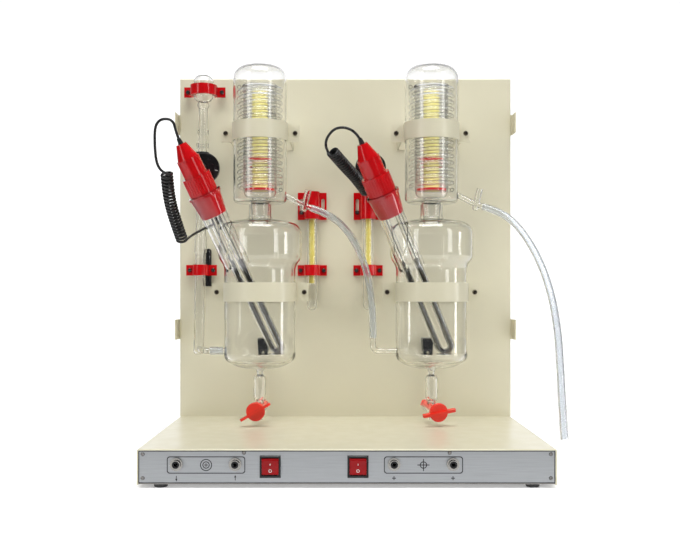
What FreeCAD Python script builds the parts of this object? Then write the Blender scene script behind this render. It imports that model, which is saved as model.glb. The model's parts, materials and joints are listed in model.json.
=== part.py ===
import FreeCAD, Part
import math
import os

os.makedirs("parts", exist_ok=True)

# A two-stage water still of blown glass on a sheet-metal stand. Millimetres, +Z up, +Y to the rear,
# +X to the right of someone facing the front. The origin is on the floor, under the middle of the stand.

Vec = FreeCAD.Vector
UP = Vec(0, 0, 1)
REARWARD = Vec(0, 1, 0)
RIGHTWARD = Vec(1, 0, 0)
SIDES = {"left": -1, "right": 1}
RUNNING_GAP = 0.05
SLIDING_GAP = 0.3

# Stand
STAND_WIDTH = 600.0
STAND_DEPTH = 390.0
HALF_WIDTH = STAND_WIDTH / 2
HOUSING_DEPTH = 40.0
HOUSING_TOP = 668.0
FOOT_HEIGHT = 5.0
FOOT_RADIUS = 10.0
FOOT_X = 268.0
FOOT_INSET = 14.0
BASE_TOP = 56.0
SHEET = 2.0
THIN_SHEET = 1.5
EDGE_RADIUS = 2.5
FRONT_PROUD = 6.0
REAR_PROUD = 24.0
FRONT_Y = -(STAND_DEPTH + FRONT_PROUD + REAR_PROUD) / 2 + FRONT_PROUD
REAR_Y = FRONT_Y + STAND_DEPTH
PANEL_Y = REAR_Y - HOUSING_DEPTH
HOOK_LEVELS = (214.0, 585.0)
HOOK_HEIGHT = 36.0
FLANGE_WIDTH = 20.0
WIRE_WAY = (-40.0, PANEL_Y + 8, 40.0, REAR_Y - 8)
GLAND_X = 220.0
GLAND_Z = 30.0
BARB_PLACES = ((-200.0, 130.0), (-150.0, 130.0))
REAR_SCREW_X = HALF_WIDTH - 14
REAR_SCREW_LEVELS = (BASE_TOP + 22, (BASE_TOP + HOUSING_TOP) / 2, HOUSING_TOP - 18)

# Front plate and its fittings
PLATE_Y = FRONT_Y + 0.8
PLATE_BACK = PLATE_Y + THIN_SHEET
PLATE_LOW = 7.2
PLATE_HIGH = 53.8
PLATE_SCREWS = [(x, z) for x in (-291.5, 291.5) for z in (14.6, 48.6)] + [(-147.0, 50.6), (147.0, 50.6)]
SCREW_SHANK = 1.4
ROCKER_X = {"left": -109.3, "right": 16.0}
ROCKER_Z = 31.0
BEZEL_WIDTH = 30.0
BEZEL_HEIGHT = 32.0
BEZEL_PROUD = 2.2
ROCKER_WIDTH = 24.0
ROCKER_REACH = 12.2
ROCKER_TILT = 7.0
JACK_X = (-243.4, -159.3, 67.4, 151.7)
JACK_Z = 34.4
JACK_BORE = 3.25
JACK_DEPTH = 26.0
JACK_SLEEVE = 6.4
JACK_NUT = 9.2
JACK_BODY = 9.0

# Flasks: one upright glass axis on each side of the stand
STILL_X = 146.0
STILL_Y = PANEL_Y - 100.0
WALL = 2.4
STEM_RADIUS = 10.4
THROAT_RADIUS = 5.4
BODY_RADIUS = 60.4
BULB_RADIUS = 70.6
SHOULDER_RADIUS = 20.0
BODY_LOW = 152.0
BODY_HIGH = 318.0
BULB_LOW = 346.0
BULB_HIGH = 380.0
NECK_RADIUS = 19.0
NECK_HIGH = 430.0
INLET_Z = 181.0
INLET_RADIUS = 5.0
LEFT_INLET_REACH = 74.0
ELBOW_REACH = 99.4
ELBOW_RADIUS = 9.0
ELBOW_TOP = 203.0

# Condensers
JACKET_RADIUS = 45.4
JACKET_LOW = 432.0
JACKET_TOP = 664.0
DOME_RADIUS = 20.0
HEEL_RADIUS = 8.0
CONE_TOP_RADIUS = 16.4
CONE_TIP_RADIUS = 13.4
CONE_LENGTH = 34.0
RIB_LOW = 450.0
RIB_COUNT = 23
RIB_PITCH = 8.0
RIB_RADIUS = 30.8
RIB_ROOT = 27.6
COIL_BORE = 25.4
CORE_RADIUS = 13.6
CORE_LOW = 452.0
CORE_HIGH = 618.0
RINGS = ((454.6, COIL_BORE), (503.4, 20.5))
RING_HEIGHT = 4.0
TEE_REACH = 76.0
TEE_Z = 428.0
ARM_RADIUS = 4.8
TEE_RADIUS = 5.3
VENT_LEAN = 14.0
VENT_LENGTH = 27.0
OUTLET_DIP = 18.0
OUTLET_LENGTH = 12.0
CONDENSER_TURN = {"left": 0.0, "right": -17.0}

# Heaters: a straight axis from the cap down to the bend of the quartz tube, the same on both stills
HEATER_TOP = Vec(-122.0, -84.0, 524.0)
HEATER_FOOT = Vec(32.0, 30.0, 173.5)
HEATER_AXIS = (HEATER_FOOT - HEATER_TOP).normalize()
HEATER_LENGTH = (HEATER_FOOT - HEATER_TOP).Length
LEG_TWIST = {"left": 39.0, "right": 22.0}
LEG_SPREAD = 12.0
LEG_RADIUS = 6.0
LEG_BORE = 4.5
ELEMENT_RADIUS = 4.0
ELEMENT_TOP = 215.0
CAP_TOP = 5.0
CAP_SHOULDER = 30.0
CAP_RADIUS = 19.3
COLLAR_TOP = 60.4
COLLAR_END = 91.0
COLLAR_RADIUS = 24.0
CAP_END = 92.0
SOCKET_TOP = 92.4
SOCKET_RADIUS = 28.0
STOPPER_END = 132.0
STOPPER_WIDE = 22.8
STOPPER_NARROW = 19.3
SIDE_NECK_END = 228.0
SIDE_NECK_RADIUS = 21.6

# Stopcocks: the key's axis turns about the drain's axis and dips to the front
STOPCOCK_Z = 84.0
STOPCOCK_TURN = {"left": -8.0, "right": 16.0}
STOPCOCK_DIP = {"left": 4.5, "right": 7.2}
WING_ANGLE = {"left": 30.0, "right": 9.0}
BARREL_RADIUS = 10.0
BARREL_HALF = 22.0
PLUG_RADIUS = 6.4
DRAIN_BORE = 2.4
DRAIN_TIP = 64.0
DRAIN_TIP_RADIUS = 4.5
KEY_FACE = 36.0
KEY_RADIUS = 15.8
KEY_THICK = 6.0
WING_REACH = 29.0
WING_THICK = 4.5
WING_HEIGHT = 11.0

# Clamp bands round the glass, and the arms behind them
BAND_THICK = 2.0
EAR_WIDTH = 15.0
EAR_BACK = 10.0
BANDS = {
    "upper": {"glass": JACKET_RADIUS, "z": 553.0, "height": 30.0, "reach": 67.0},
    "lower": {"glass": BODY_RADIUS, "z": 281.0, "height": 32.0, "reach": 82.5},
}

# Level tube on the left, with its valve and knob
LEVEL_X = -258.5
LEVEL_Y = PANEL_Y - 30.0
LEVEL_PIVOT_Z = 320.5
LEVEL_LEAN = 1.07
LEVEL_WALL = 1.6
LEVEL_RADIUS = 9.3
LEVEL_FOOT = 171.0
VALVE_X = -102.0
VALVE_Z = 499.0
VALVE_RADIUS = 16.0
VALVE_TOP = 530.0
VALVE_FOOT = 478.0
KNOB_RADIUS = 27.0
KNOB_FRONT = PANEL_Y - 65.0
KNOB_BACK = PANEL_Y - 47.0
GRIP_ANGLE = -58.0
SPINDLE_RADIUS = 3.0
SLEEVE_RADIUS = 7.0
SLEEVE_X = (-231.0, -209.0)
CROSS_CORNER_X = -238.0
CROSS_END_X = -224.0
PROBE_RADIUS = 5.5
PROBE_X = -247.3
PROBE_LEVELS = (292.0, 360.0)

# Saddle clips
CLIP_THICK = 3.0
CLIP_STANDOFF = 12.5
POST_RADIUS = 3.5
CUP_CLIP_Z = 640.0
TUBE_CLIP_Z = 320.5

# Conductivity sensors beside each still
SENSOR_X = {"left": -60.0, "right": 41.0}
SENSOR_Y = PANEL_Y - 18.0
SENSOR_RADIUS = 9.0
SENSOR_FOOT = 249.0
SENSOR_TOP = 458.0
SENSOR_CORE_RADIUS = 5.0
SENSOR_CORE_FOOT = 297.0
SENSOR_WALL = 1.4
HOLDER_LEVELS = (412.0, 461.0)
HOLDER_HALF = 26.0
HOLDER_RADIUS = 13.5
SLOT_LEVELS = (422.0, 450.0)
SLOT_WIDTH = 6.0
SLOT_X = 19.5

# Thermostats behind the flasks
THERMOSTAT_LEVELS = (172.0, 199.0)
THERMOSTAT_HALF = 10.0

# Cords
GROMMETS = {"left": (-234.0, 410.0), "right": (78.0, 440.0)}
HOSE_DIAMETER = 12.0
LEAD_DIAMETER = 4.4
CURL_DIAMETER = 21.0
ROUTES = {
    "link_hose": (HOSE_DIAMETER, [(-58.6, 46, 424.3), (-28.2, 46, 414.4), (6, 46, 384), (32, 46, 333),
                                  (43, 46, 280), (46.5, 46, 238), (46.6, 46, 203)]),
    "outlet_hose": (HOSE_DIAMETER, [(229.6, 20.5, 424.3), (260.5, 11, 413.8), (287, -10, 385),
                                    (309, -42, 337), (321, -78, 281), (324, -110, 222),
                                    (321, -138, 163), (319, -158, 109), (319, -171, 64)]),
    "lead_left": (LEAD_DIAMETER, [(-266.1, -36.6, 519.6), (-272.3, -41, 533.6), (-278, -43, 560),
                                  (-306, -43, 557), (-308, -41, 518), (-304.5, -37, 481),
                                  (-287.5, -33.5, 472.5)]),
    "curl_left": (CURL_DIAMETER, [(-291, -26, 474), (-292, -6, 440), (-287, 22, 404), (-279, 49, 370)]),
    "tail_left": (LEAD_DIAMETER, [(-270.7, 48.1, 371.2), (-265.3, 68.5, 379.5), (-256, 89, 388),
                                  (-245, 107, 396), (-237, 127, 405), (-234, 146, 410)]),
    "lead_right": (LEAD_DIAMETER, [(25.9, -36.6, 519.6), (20.5, -41, 532), (4, -42, 545), (-17, -37, 546),
                                   (-31, -29, 532), (-33.5, -24, 519), (-28.9, -21.2, 508.8)]),
    "curl_right": (CURL_DIAMETER, [(-22, -26, 508.8), (-1.8, 3.4, 489.9), (19, 34, 472.7),
                                   (35.1, 64, 455.1)]),
    "tail_right": (LEAD_DIAMETER, [(42.5, 60, 455.1), (46.5, 69, 464.5), (57, 92, 463), (70, 120, 451),
                                   (78, 146, 440)]),
}


# ---------------------------------------------------------------- helpers

def box(low, high):
    size = Vec(*high) - Vec(*low)
    return Part.makeBox(size.x, size.y, size.z, Vec(*low))


def rod(radius, start, end):
    run = end - start
    return Part.makeCylinder(radius, run.Length, start, run)


def cone(start_radius, end_radius, start, end):
    run = end - start
    return Part.makeCone(start_radius, end_radius, run.Length, start, run)


def fused(shapes):
    return shapes[0].multiFuse(shapes[1:]).removeSplitter()


def cut_all(solid, cutters):
    for cutter in cutters:
        solid = solid.cut(cutter)
    return solid


def section_point(radius_z):
    return Vec(radius_z[0], 0, radius_z[1])


def turned(outline):
    """A solid turned about the origin's vertical. A step is a (radius, z) point, or ("arc", middle, end)."""
    edges = []
    here = outline[0]
    for step in outline[1:] + [outline[0]]:
        end = step[2] if step[0] == "arc" else step
        if step[0] == "arc":
            edges.append(Part.Arc(section_point(here), section_point(step[1]), section_point(end)).toShape())
        else:
            edges.append(Part.LineSegment(section_point(here), section_point(end)).toShape())
        here = end
    return Part.Face(Part.Wire(edges)).revolve(Vec(0, 0, 0), UP, 360)


def bend(centre, radius, first, last):
    """An arc step round a centre, from one angle to another, in degrees above the horizontal."""
    middle, end = [(centre[0] + radius * math.cos(angle), centre[1] + radius * math.sin(angle))
                   for angle in (math.radians((first + last) / 2), math.radians(last))]
    return ("arc", middle, end)


def s_bend(start, end):
    """Two equal arcs that join two upright walls."""
    across = (end[0] - start[0]) / 2
    rise = (end[1] - start[1]) / 2
    radius = (across ** 2 + rise ** 2) / (2 * across)
    half = math.atan2(rise, radius - across) / 2
    out = radius * (1 - math.cos(half))
    along = radius * math.sin(half)
    middle = (start[0] + across, start[1] + rise)
    return [("arc", (start[0] + out, start[1] + along), middle),
            ("arc", (end[0] - out, end[1] - along), end)]


def tube_along(name):
    """A round tube: straight runs joined by the largest even arcs.

    It prints its length, its bends' radii and how full its volume is.
    """
    diameter, route = ROUTES[name]
    points = [Vec(*p) for p in route]
    runs = [(b - a).Length for a, b in zip(points, points[1:])]
    edges = []
    bends = []
    here = points[0]
    for i in range(1, len(points) - 1):
        back = (points[i - 1] - points[i]).normalize()
        ahead = (points[i + 1] - points[i]).normalize()
        half_turn = (math.pi - back.getAngle(ahead)) / 2
        setback = 0.45 * min(runs[i - 1], runs[i])
        radius = setback / math.tan(half_turn)
        start = points[i] + back * setback
        end = points[i] + ahead * setback
        inward = (back + ahead).normalize()
        middle = points[i] + inward * (radius / math.cos(half_turn) - radius)
        edges.append(Part.LineSegment(here, start).toShape())
        edges.append(Part.Arc(start, middle, end).toShape())
        bends.append(round(radius, 1))
        here = end
    edges.append(Part.LineSegment(here, points[-1]).toShape())
    path = Part.Wire(edges)
    section = Part.Wire([Part.Circle(points[0], points[1] - points[0], diameter / 2).toShape()])
    solid = path.makePipeShell([section], True, False)
    ratio = solid.Volume / (math.pi * diameter ** 2 / 4 * path.Length)
    print(name, "length", round(path.Length, 1), "radii", bends, "volume ratio", round(ratio, 4))
    return solid


def screw(x, y, z, facing, shank, length):
    """A pan-head screw along Y with a cross recess; y is under its head, facing is -1 to the front."""
    seat = Vec(x, y, z)
    out = REARWARD * facing
    head_radius = 2.1 * shank
    head_height = 1.2 * shank
    body = fused([cone(head_radius, 0.7 * head_radius, seat, seat + out * head_height),
                  rod(shank, seat - out * length, seat)])
    floor = y + facing * head_height * 0.5
    lid = y + facing * head_height * 1.5
    half = 0.25 * shank
    span = 1.2 * shank
    for wide, high in ((span, half), (half, span)):
        body = body.cut(box((x - wide, min(floor, lid), z - high), (x + wide, max(floor, lid), z + high)))
    return body


def along_y(radius, x, z, start, end):
    return rod(radius, Vec(x, start, z), Vec(x, end, z))


def still_x(side):
    return SIDES[side] * STILL_X


def at_still(shape, side):
    shape.translate(Vec(still_x(side), STILL_Y, 0))
    return shape


def group(shapes):
    return Part.makeCompound(shapes)


def save(name, shape):
    solids = shape.Solids
    bad = [i for i, solid in enumerate(solids) if not solid.isValid() or solid.Volume <= 0]
    print(name, "solids", len(solids), "volume", round(shape.Volume), "bad", bad)
    shape.exportStep("parts/" + name + ".step")


# ---------------------------------------------------------------- stand

def base_tray():
    low = (-HALF_WIDTH, FRONT_Y, FOOT_HEIGHT)
    high = (HALF_WIDTH, REAR_Y, BASE_TOP)
    shell = box(low, high)
    shell = shell.makeFillet(EDGE_RADIUS, [e for e in shell.Edges if e.CenterOfMass.z > BASE_TOP - 0.1])
    inside = HALF_WIDTH - SHEET
    hollow = box((-inside, FRONT_Y - 1, FOOT_HEIGHT - 1), (inside, REAR_Y - SHEET, BASE_TOP - SHEET))
    shell = shell.cut(hollow)
    lips = [box((-inside, PLATE_BACK, 45.4), (inside, PLATE_BACK + SHEET, BASE_TOP - SHEET))]
    for x in (-inside, inside - 14):
        lips.append(box((x, PLATE_BACK, PLATE_LOW), (x + 14, PLATE_BACK + SHEET, 46)))
    shell = fused([shell] + lips)
    holes = [along_y(SCREW_SHANK, x, z, PLATE_Y, PLATE_BACK + 2 * SHEET) for x, z in PLATE_SCREWS]
    holes.append(along_y(6.5, GLAND_X, GLAND_Z, REAR_Y - 2 * SHEET, REAR_Y + 1))
    holes.append(box((WIRE_WAY[0], WIRE_WAY[1], BASE_TOP - 4), (WIRE_WAY[2], WIRE_WAY[3], BASE_TOP + 1)))
    return cut_all(shell, holes)


def bottom_plate():
    inside = HALF_WIDTH - SHEET
    return box((-inside, PLATE_BACK + SHEET, FOOT_HEIGHT), (inside, REAR_Y - SHEET, FOOT_HEIGHT + THIN_SHEET))


def feet():
    pads = []
    for x in (-FOOT_X, FOOT_X):
        for y in (FRONT_Y + FOOT_INSET, REAR_Y - FOOT_INSET):
            pad = turned([(0, 0), (FOOT_RADIUS - 1.5, 0), bend((FOOT_RADIUS - 1.5, 1.5), 1.5, -90, 0),
                          (FOOT_RADIUS, FOOT_HEIGHT), (0, FOOT_HEIGHT)])
            pad.translate(Vec(x, y, 0))
            pads.append(pad)
    return group(pads)


def front_plate():
    edge = HALF_WIDTH - SHEET - 0.2
    plate = box((-edge, PLATE_Y, PLATE_LOW), (edge, PLATE_BACK, PLATE_HIGH))
    holes = [box((x - 13.1, PLATE_Y - 1, ROCKER_Z - 14.1), (x + 13.1, PLATE_BACK + 1, ROCKER_Z + 14.1))
             for x in ROCKER_X.values()]
    holes += [along_y(JACK_SLEEVE + RUNNING_GAP, x, JACK_Z, PLATE_Y - 1, PLATE_BACK + 1) for x in JACK_X]
    holes += [along_y(SCREW_SHANK, x, z, PLATE_Y - 1, PLATE_BACK + 1) for x, z in PLATE_SCREWS]
    return cut_all(plate, holes)


def cover_screws():
    screws = [screw(x, PLATE_Y, z, -1, SCREW_SHANK, 6) for x, z in PLATE_SCREWS]
    for x in (-REAR_SCREW_X, REAR_SCREW_X):
        screws += [screw(x, REAR_Y, z, 1, SCREW_SHANK, 6) for z in REAR_SCREW_LEVELS]
    return group(screws)


def back_panel():
    outer = box((-HALF_WIDTH, PANEL_Y, BASE_TOP), (HALF_WIDTH, REAR_Y, HOUSING_TOP))
    front_edges = [e for e in outer.Edges
                   if e.CenterOfMass.y < PANEL_Y + 0.1 and e.CenterOfMass.z > BASE_TOP + 1]
    outer = outer.makeFillet(EDGE_RADIUS, front_edges)
    inside = HALF_WIDTH - SHEET
    hollow = box((-inside, PANEL_Y + SHEET, BASE_TOP + SHEET), (inside, REAR_Y + 1, HOUSING_TOP - SHEET))
    shell = outer.cut(hollow)
    flange_back = REAR_Y - THIN_SHEET
    for x in (-inside, inside - FLANGE_WIDTH):
        shell = shell.fuse(box((x, flange_back - SHEET, BASE_TOP + SHEET),
                               (x + FLANGE_WIDTH, flange_back, HOUSING_TOP - SHEET)))
    holes = [box((WIRE_WAY[0], WIRE_WAY[1], BASE_TOP - 1), (WIRE_WAY[2], WIRE_WAY[3], BASE_TOP + 3))]
    for side in SIDES:
        holes.append(along_y(4.0, GROMMETS[side][0], GROMMETS[side][1], PANEL_Y - 1, PANEL_Y + 4))
        holes.append(along_y(5.0, still_x(side) + VALVE_X, VALVE_Z, PANEL_Y - 1, PANEL_Y + 4))
    for x in (-REAR_SCREW_X, REAR_SCREW_X):
        holes += [along_y(SCREW_SHANK, x, z, flange_back - 4, REAR_Y + 1) for z in REAR_SCREW_LEVELS]
    return cut_all(shell.removeSplitter(), holes)


def rear_cover():
    edge = HALF_WIDTH - SHEET
    plate = box((-edge, REAR_Y - THIN_SHEET, BASE_TOP + SHEET), (edge, REAR_Y, HOUSING_TOP - SHEET))
    holes = [along_y(6.0, x, z, REAR_Y - 3, REAR_Y + 1) for x, z in BARB_PLACES]
    for row in range(5):
        z = HOUSING_TOP - 110 + 14 * row
        for x in (-150, 90):
            holes.append(box((x, REAR_Y - 3, z), (x + 60, REAR_Y + 1, z + 4)))
    for x in (-REAR_SCREW_X, REAR_SCREW_X):
        holes += [along_y(SCREW_SHANK, x, z, REAR_Y - 3, REAR_Y + 1) for z in REAR_SCREW_LEVELS]
    return cut_all(plate, holes)


def shield_hooks():
    """Four angle hooks on the housing's sides, where a front shield can hang."""
    hooks = []
    for sign in SIDES.values():
        for z in HOOK_LEVELS:
            low, high = z - HOOK_HEIGHT / 2, z + HOOK_HEIGHT / 2
            leg = box((0, PANEL_Y + 4, low), (SHEET, PANEL_Y + 32, high))
            web = box((0, PANEL_Y + 4, low), (5, PANEL_Y + 4 + SHEET, high))
            lip = box((5 - SHEET, PANEL_Y - 24, low), (5, PANEL_Y + 4 + SHEET, high))
            slot = box((0, PANEL_Y - 16, z - 4), (8, PANEL_Y - 13, z + 4))
            hook = fused([leg, web, lip]).cut(slot)
            if sign < 0:
                hook = hook.mirror(Vec(0, 0, 0), RIGHTWARD)
            hook.translate(Vec(sign * HALF_WIDTH, 0, 0))
            hooks.append(hook)
    return group(hooks)


def hexagon(x, z, radius, start, end):
    angles = [math.radians(60 * i) for i in range(7)]
    corners = [Vec(x + radius * math.cos(a), start, z + radius * math.sin(a)) for a in angles]
    return Part.Face(Part.makePolygon(corners)).extrude(REARWARD * (end - start))


def water_barbs():
    """Hose tails on the rear cover, for cooling water in and out."""
    tails = []
    for x, z in BARB_PLACES:
        shank = along_y(5.95, x, z, REAR_Y - 12, REAR_Y + 1)
        tail = along_y(4.0, x, z, REAR_Y, REAR_Y + 14)
        rings = [cone(5.0, 4.0, Vec(x, y, z), Vec(x, y + 4, z))
                 for y in (REAR_Y + 12, REAR_Y + 16, REAR_Y + 20)]
        whole = fused([hexagon(x, z, 9, REAR_Y, REAR_Y + 4), shank, tail] + rings)
        tails.append(whole.cut(along_y(2.6, x, z, REAR_Y - 13, REAR_Y + REAR_PROUD + 1)))
    return group(tails)


def mains_gland():
    body = fused([along_y(6.45, GLAND_X, GLAND_Z, REAR_Y - 12, REAR_Y + 1),
                  hexagon(GLAND_X, GLAND_Z, 10.5, REAR_Y, REAR_Y + 6),
                  cone(8.5, 6.0, Vec(GLAND_X, REAR_Y + 6, GLAND_Z), Vec(GLAND_X, REAR_Y + 18, GLAND_Z))])
    return body.cut(along_y(3.6, GLAND_X, GLAND_Z, REAR_Y - 13, REAR_Y + 19))


# ---------------------------------------------------------------- front controls

def rocker_bezels():
    frames = []
    for x in ROCKER_X.values():
        flange = box((x - BEZEL_WIDTH / 2, PLATE_Y - BEZEL_PROUD, ROCKER_Z - BEZEL_HEIGHT / 2),
                     (x + BEZEL_WIDTH / 2, PLATE_Y, ROCKER_Z + BEZEL_HEIGHT / 2))
        front = [e for e in flange.Edges if e.CenterOfMass.y < PLATE_Y - BEZEL_PROUD + 0.1]
        flange = flange.makeChamfer(1.0, front)
        case = box((x - 13, PLATE_Y, ROCKER_Z - 14), (x + 13, PLATE_Y + 24, ROCKER_Z + 14))
        tabs = [box((x + left, PLATE_Y + 24, ROCKER_Z - 3), (x + left + 4, PLATE_Y + 33, ROCKER_Z - 2.2))
                for left in (-10, -2, 6)]
        opening = box((x - ROCKER_WIDTH / 2 - 0.4, PLATE_Y - 4, ROCKER_Z - ROCKER_REACH - 0.4),
                      (x + ROCKER_WIDTH / 2 + 0.4, PLATE_Y + 17, ROCKER_Z + ROCKER_REACH + 0.4))
        frames.append(fused([flange, case] + tabs).cut(opening))
    return group(frames)


def rocker(side):
    """A rocker whose ends are arcs about its pivot. At rest its lower half is pressed in."""
    lip_y = -6.5
    lip_z = math.sqrt(ROCKER_REACH ** 2 - lip_y ** 2)
    valley = Vec(0, lip_y + lip_z * math.tan(math.radians(ROCKER_TILT)), 0)
    heel_y = 2.0
    heel_z = math.sqrt(ROCKER_REACH ** 2 - heel_y ** 2)
    top, top_heel, top_web = Vec(0, lip_y, lip_z), Vec(0, heel_y, heel_z), Vec(0, 8, 5)
    low, low_heel, low_web = Vec(0, lip_y, -lip_z), Vec(0, heel_y, -heel_z), Vec(0, 8, -5)
    edges = [Part.LineSegment(valley, top).toShape(),
             Part.Arc(top, Vec(0, 0, ROCKER_REACH), top_heel).toShape(),
             Part.LineSegment(top_heel, top_web).toShape(),
             Part.LineSegment(top_web, low_web).toShape(),
             Part.LineSegment(low_web, low_heel).toShape(),
             Part.Arc(low_heel, Vec(0, 0, -ROCKER_REACH), low).toShape(),
             Part.LineSegment(low, valley).toShape()]
    solid = Part.Face(Part.Wire(edges)).extrude(RIGHTWARD * ROCKER_WIDTH)
    solid.translate(RIGHTWARD * (-ROCKER_WIDTH / 2))
    solid.rotate(Vec(0, 0, 0), RIGHTWARD, ROCKER_TILT)
    solid.translate(Vec(ROCKER_X[side], PLATE_Y + 2.5, ROCKER_Z))
    return solid


def jack_sockets():
    sockets = []
    for x in JACK_X:
        front = FRONT_Y - FRONT_PROUD
        sleeve = along_y(JACK_SLEEVE, x, JACK_Z, front, PLATE_Y + 10)
        nut = along_y(JACK_NUT, x, JACK_Z, PLATE_Y - 3.0, PLATE_Y)
        body = box((x - JACK_BODY, PLATE_BACK, JACK_Z - JACK_BODY),
                   (x + JACK_BODY, PLATE_Y + 30, JACK_Z + JACK_BODY))
        bore = along_y(JACK_BORE, x, JACK_Z, front - 1, front + JACK_DEPTH)
        sockets.append(fused([sleeve, nut, body]).cut(bore))
    return group(sockets)


# ---------------------------------------------------------------- glass

def flask_outline(wall):
    """Half section of the flask, from the drain stem's foot to the neck's rim. wall moves it inwards."""
    body = BODY_RADIUS - wall
    bulb = BULB_RADIUS - wall
    neck = NECK_RADIUS - wall
    stem = STEM_RADIUS - wall
    throat = THROAT_RADIUS - wall
    low = BODY_LOW + wall
    foot = STOPCOCK_Z + BARREL_RADIUS + (2 if wall else -6)
    knee = STOPCOCK_Z + BARREL_RADIUS + 1 + wall
    return [
        (0, foot), (throat + 1.6, foot), (throat + 1.6, knee),
        ("arc", (stem - 1, knee + 2.2), (stem, knee + 6)),
        (stem, 133), ("arc", (stem - 1.1, 138 - 0.7 * wall), (throat, 141 - wall)),
        (throat, 146), ("arc", (throat + 2.6, 150 + 0.8 * wall), (throat + 10, low)),
        ("arc", (0.66 * body, low + 3.2), (body - 8.4, low + 9.4)),
        ("arc", (body - 1.9, low + 15), (body, low + 26)),
        (body, BODY_HIGH)] + s_bend((body, BODY_HIGH), (bulb, BULB_LOW)) + [
        (bulb, BULB_HIGH), bend((BULB_RADIUS - SHOULDER_RADIUS, BULB_HIGH), SHOULDER_RADIUS - wall, 0, 80),
        (neck + 8, 404.6 - wall), ("arc", (neck + 2.2, 406.6 - wall), (neck, 411 - wall)),
        (neck, NECK_HIGH), (0, NECK_HIGH)]


def heater_point(distance):
    return HEATER_TOP + HEATER_AXIS * distance


def heater_rod(radius, start, end):
    return rod(radius, heater_point(start), heater_point(end))


def heater_cone(start_radius, end_radius, start, end):
    return cone(start_radius, end_radius, heater_point(start), heater_point(end))


def stopcock_axis(side):
    """Along the key, out of its face, towards the front and a little down."""
    turn = math.radians(STOPCOCK_TURN[side])
    dip = math.radians(STOPCOCK_DIP[side])
    return Vec(math.sin(turn) * math.cos(dip), -math.cos(turn) * math.cos(dip), -math.sin(dip))


def elbow(radius, extra):
    """The right flask's inlet: level out of the wall, then up. extra lengthens both ends, for a bore."""
    inner = BODY_RADIUS - 1.2 - extra
    corner_x = -ELBOW_REACH
    turn_start = Vec(corner_x + ELBOW_RADIUS, 0, INLET_Z)
    turn_end = Vec(corner_x, 0, INLET_Z + ELBOW_RADIUS)
    half = ELBOW_RADIUS * (1 - math.sqrt(0.5))
    path = Part.Wire([Part.LineSegment(Vec(-inner, 0, INLET_Z), turn_start).toShape(),
                      Part.Arc(turn_start, Vec(corner_x + half, 0, INLET_Z + half), turn_end).toShape(),
                      Part.LineSegment(turn_end, Vec(corner_x, 0, ELBOW_TOP + extra)).toShape()])
    section = Part.Wire([Part.Circle(Vec(-inner, 0, INLET_Z), RIGHTWARD, radius).toShape()])
    return path.makePipeShell([section], True, False)


def straight_inlet(radius, extra):
    start = Vec(-BODY_RADIUS + 1.2 + extra, 0, INLET_Z)
    return rod(radius, start, Vec(-LEFT_INLET_REACH - extra, 0, INLET_Z))


def side_neck():
    """The heater's neck: a rimmed taper that takes the stopper, then a tube down into the flask."""
    taper = (STOPPER_WIDE - STOPPER_NARROW) / (STOPPER_END - CAP_END)
    mouth = STOPPER_WIDE - taper * (SOCKET_TOP - CAP_END)
    neck = turned([(mouth, SOCKET_TOP), (SOCKET_RADIUS, SOCKET_TOP), (SOCKET_RADIUS, SOCKET_TOP + 4.2),
                   (SOCKET_RADIUS - 1.6, SOCKET_TOP + 5), (SIDE_NECK_RADIUS, STOPPER_END),
                   (SIDE_NECK_RADIUS, SIDE_NECK_END), (STOPPER_NARROW, SIDE_NECK_END),
                   (STOPPER_NARROW, STOPPER_END)])
    neck.Placement = FreeCAD.Placement(HEATER_TOP, FreeCAD.Rotation(UP, HEATER_AXIS))
    return neck


def flask(side):
    inlet = straight_inlet if side == "left" else elbow
    centre = Vec(0, 0, STOPCOCK_Z)
    axis = stopcock_axis(side)
    shell = turned(flask_outline(0)).cut(turned(flask_outline(WALL)))
    way_in = heater_rod((SIDE_NECK_RADIUS + STOPPER_NARROW) / 2, STOPPER_END, SIDE_NECK_END)
    glass = shell.cut(way_in).fuse(side_neck())
    glass = glass.fuse(rod(BARREL_RADIUS, centre - axis * BARREL_HALF, centre + axis * BARREL_HALF))
    glass = glass.fuse(rod(DRAIN_TIP_RADIUS, Vec(0, 0, DRAIN_TIP), centre))
    glass = glass.fuse(inlet(INLET_RADIUS, 0))
    bores = [rod(PLUG_RADIUS + RUNNING_GAP, centre - axis * 30, centre + axis * 30),
             rod(DRAIN_BORE, Vec(0, 0, DRAIN_TIP - 1), Vec(0, 0, STOPCOCK_Z + BARREL_RADIUS + 3)),
             inlet(INLET_RADIUS - 1.5, 2)]
    return at_still(cut_all(glass, bores), side)


def condenser_outline(wall):
    """Half section of a condenser: a cone that sits in the flask's neck, then the jacket and its dome."""
    outer = JACKET_RADIUS - wall
    low = JACKET_LOW + wall
    cone_wall = min(wall, 2.0)
    tip = JACKET_LOW - CONE_LENGTH - (1 if wall else 0)
    heel = (JACKET_RADIUS - HEEL_RADIUS, JACKET_LOW + HEEL_RADIUS)
    dome = (JACKET_RADIUS - DOME_RADIUS, JACKET_TOP - DOME_RADIUS)
    return [
        (0, tip), (CONE_TIP_RADIUS - cone_wall, tip), (CONE_TOP_RADIUS - cone_wall, JACKET_LOW - 2),
        (CONE_TOP_RADIUS - cone_wall, low), (heel[0], low), bend(heel, HEEL_RADIUS - wall, -90, 0),
        (outer, dome[1]), bend(dome, DOME_RADIUS - wall, 0, 90), (0, JACKET_TOP - wall)]


def upright_to(shape, place, direction):
    """From an upright on the origin to an axis through a place."""
    shape.Placement = FreeCAD.Placement(place, FreeCAD.Rotation(UP, direction))
    return shape


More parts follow.
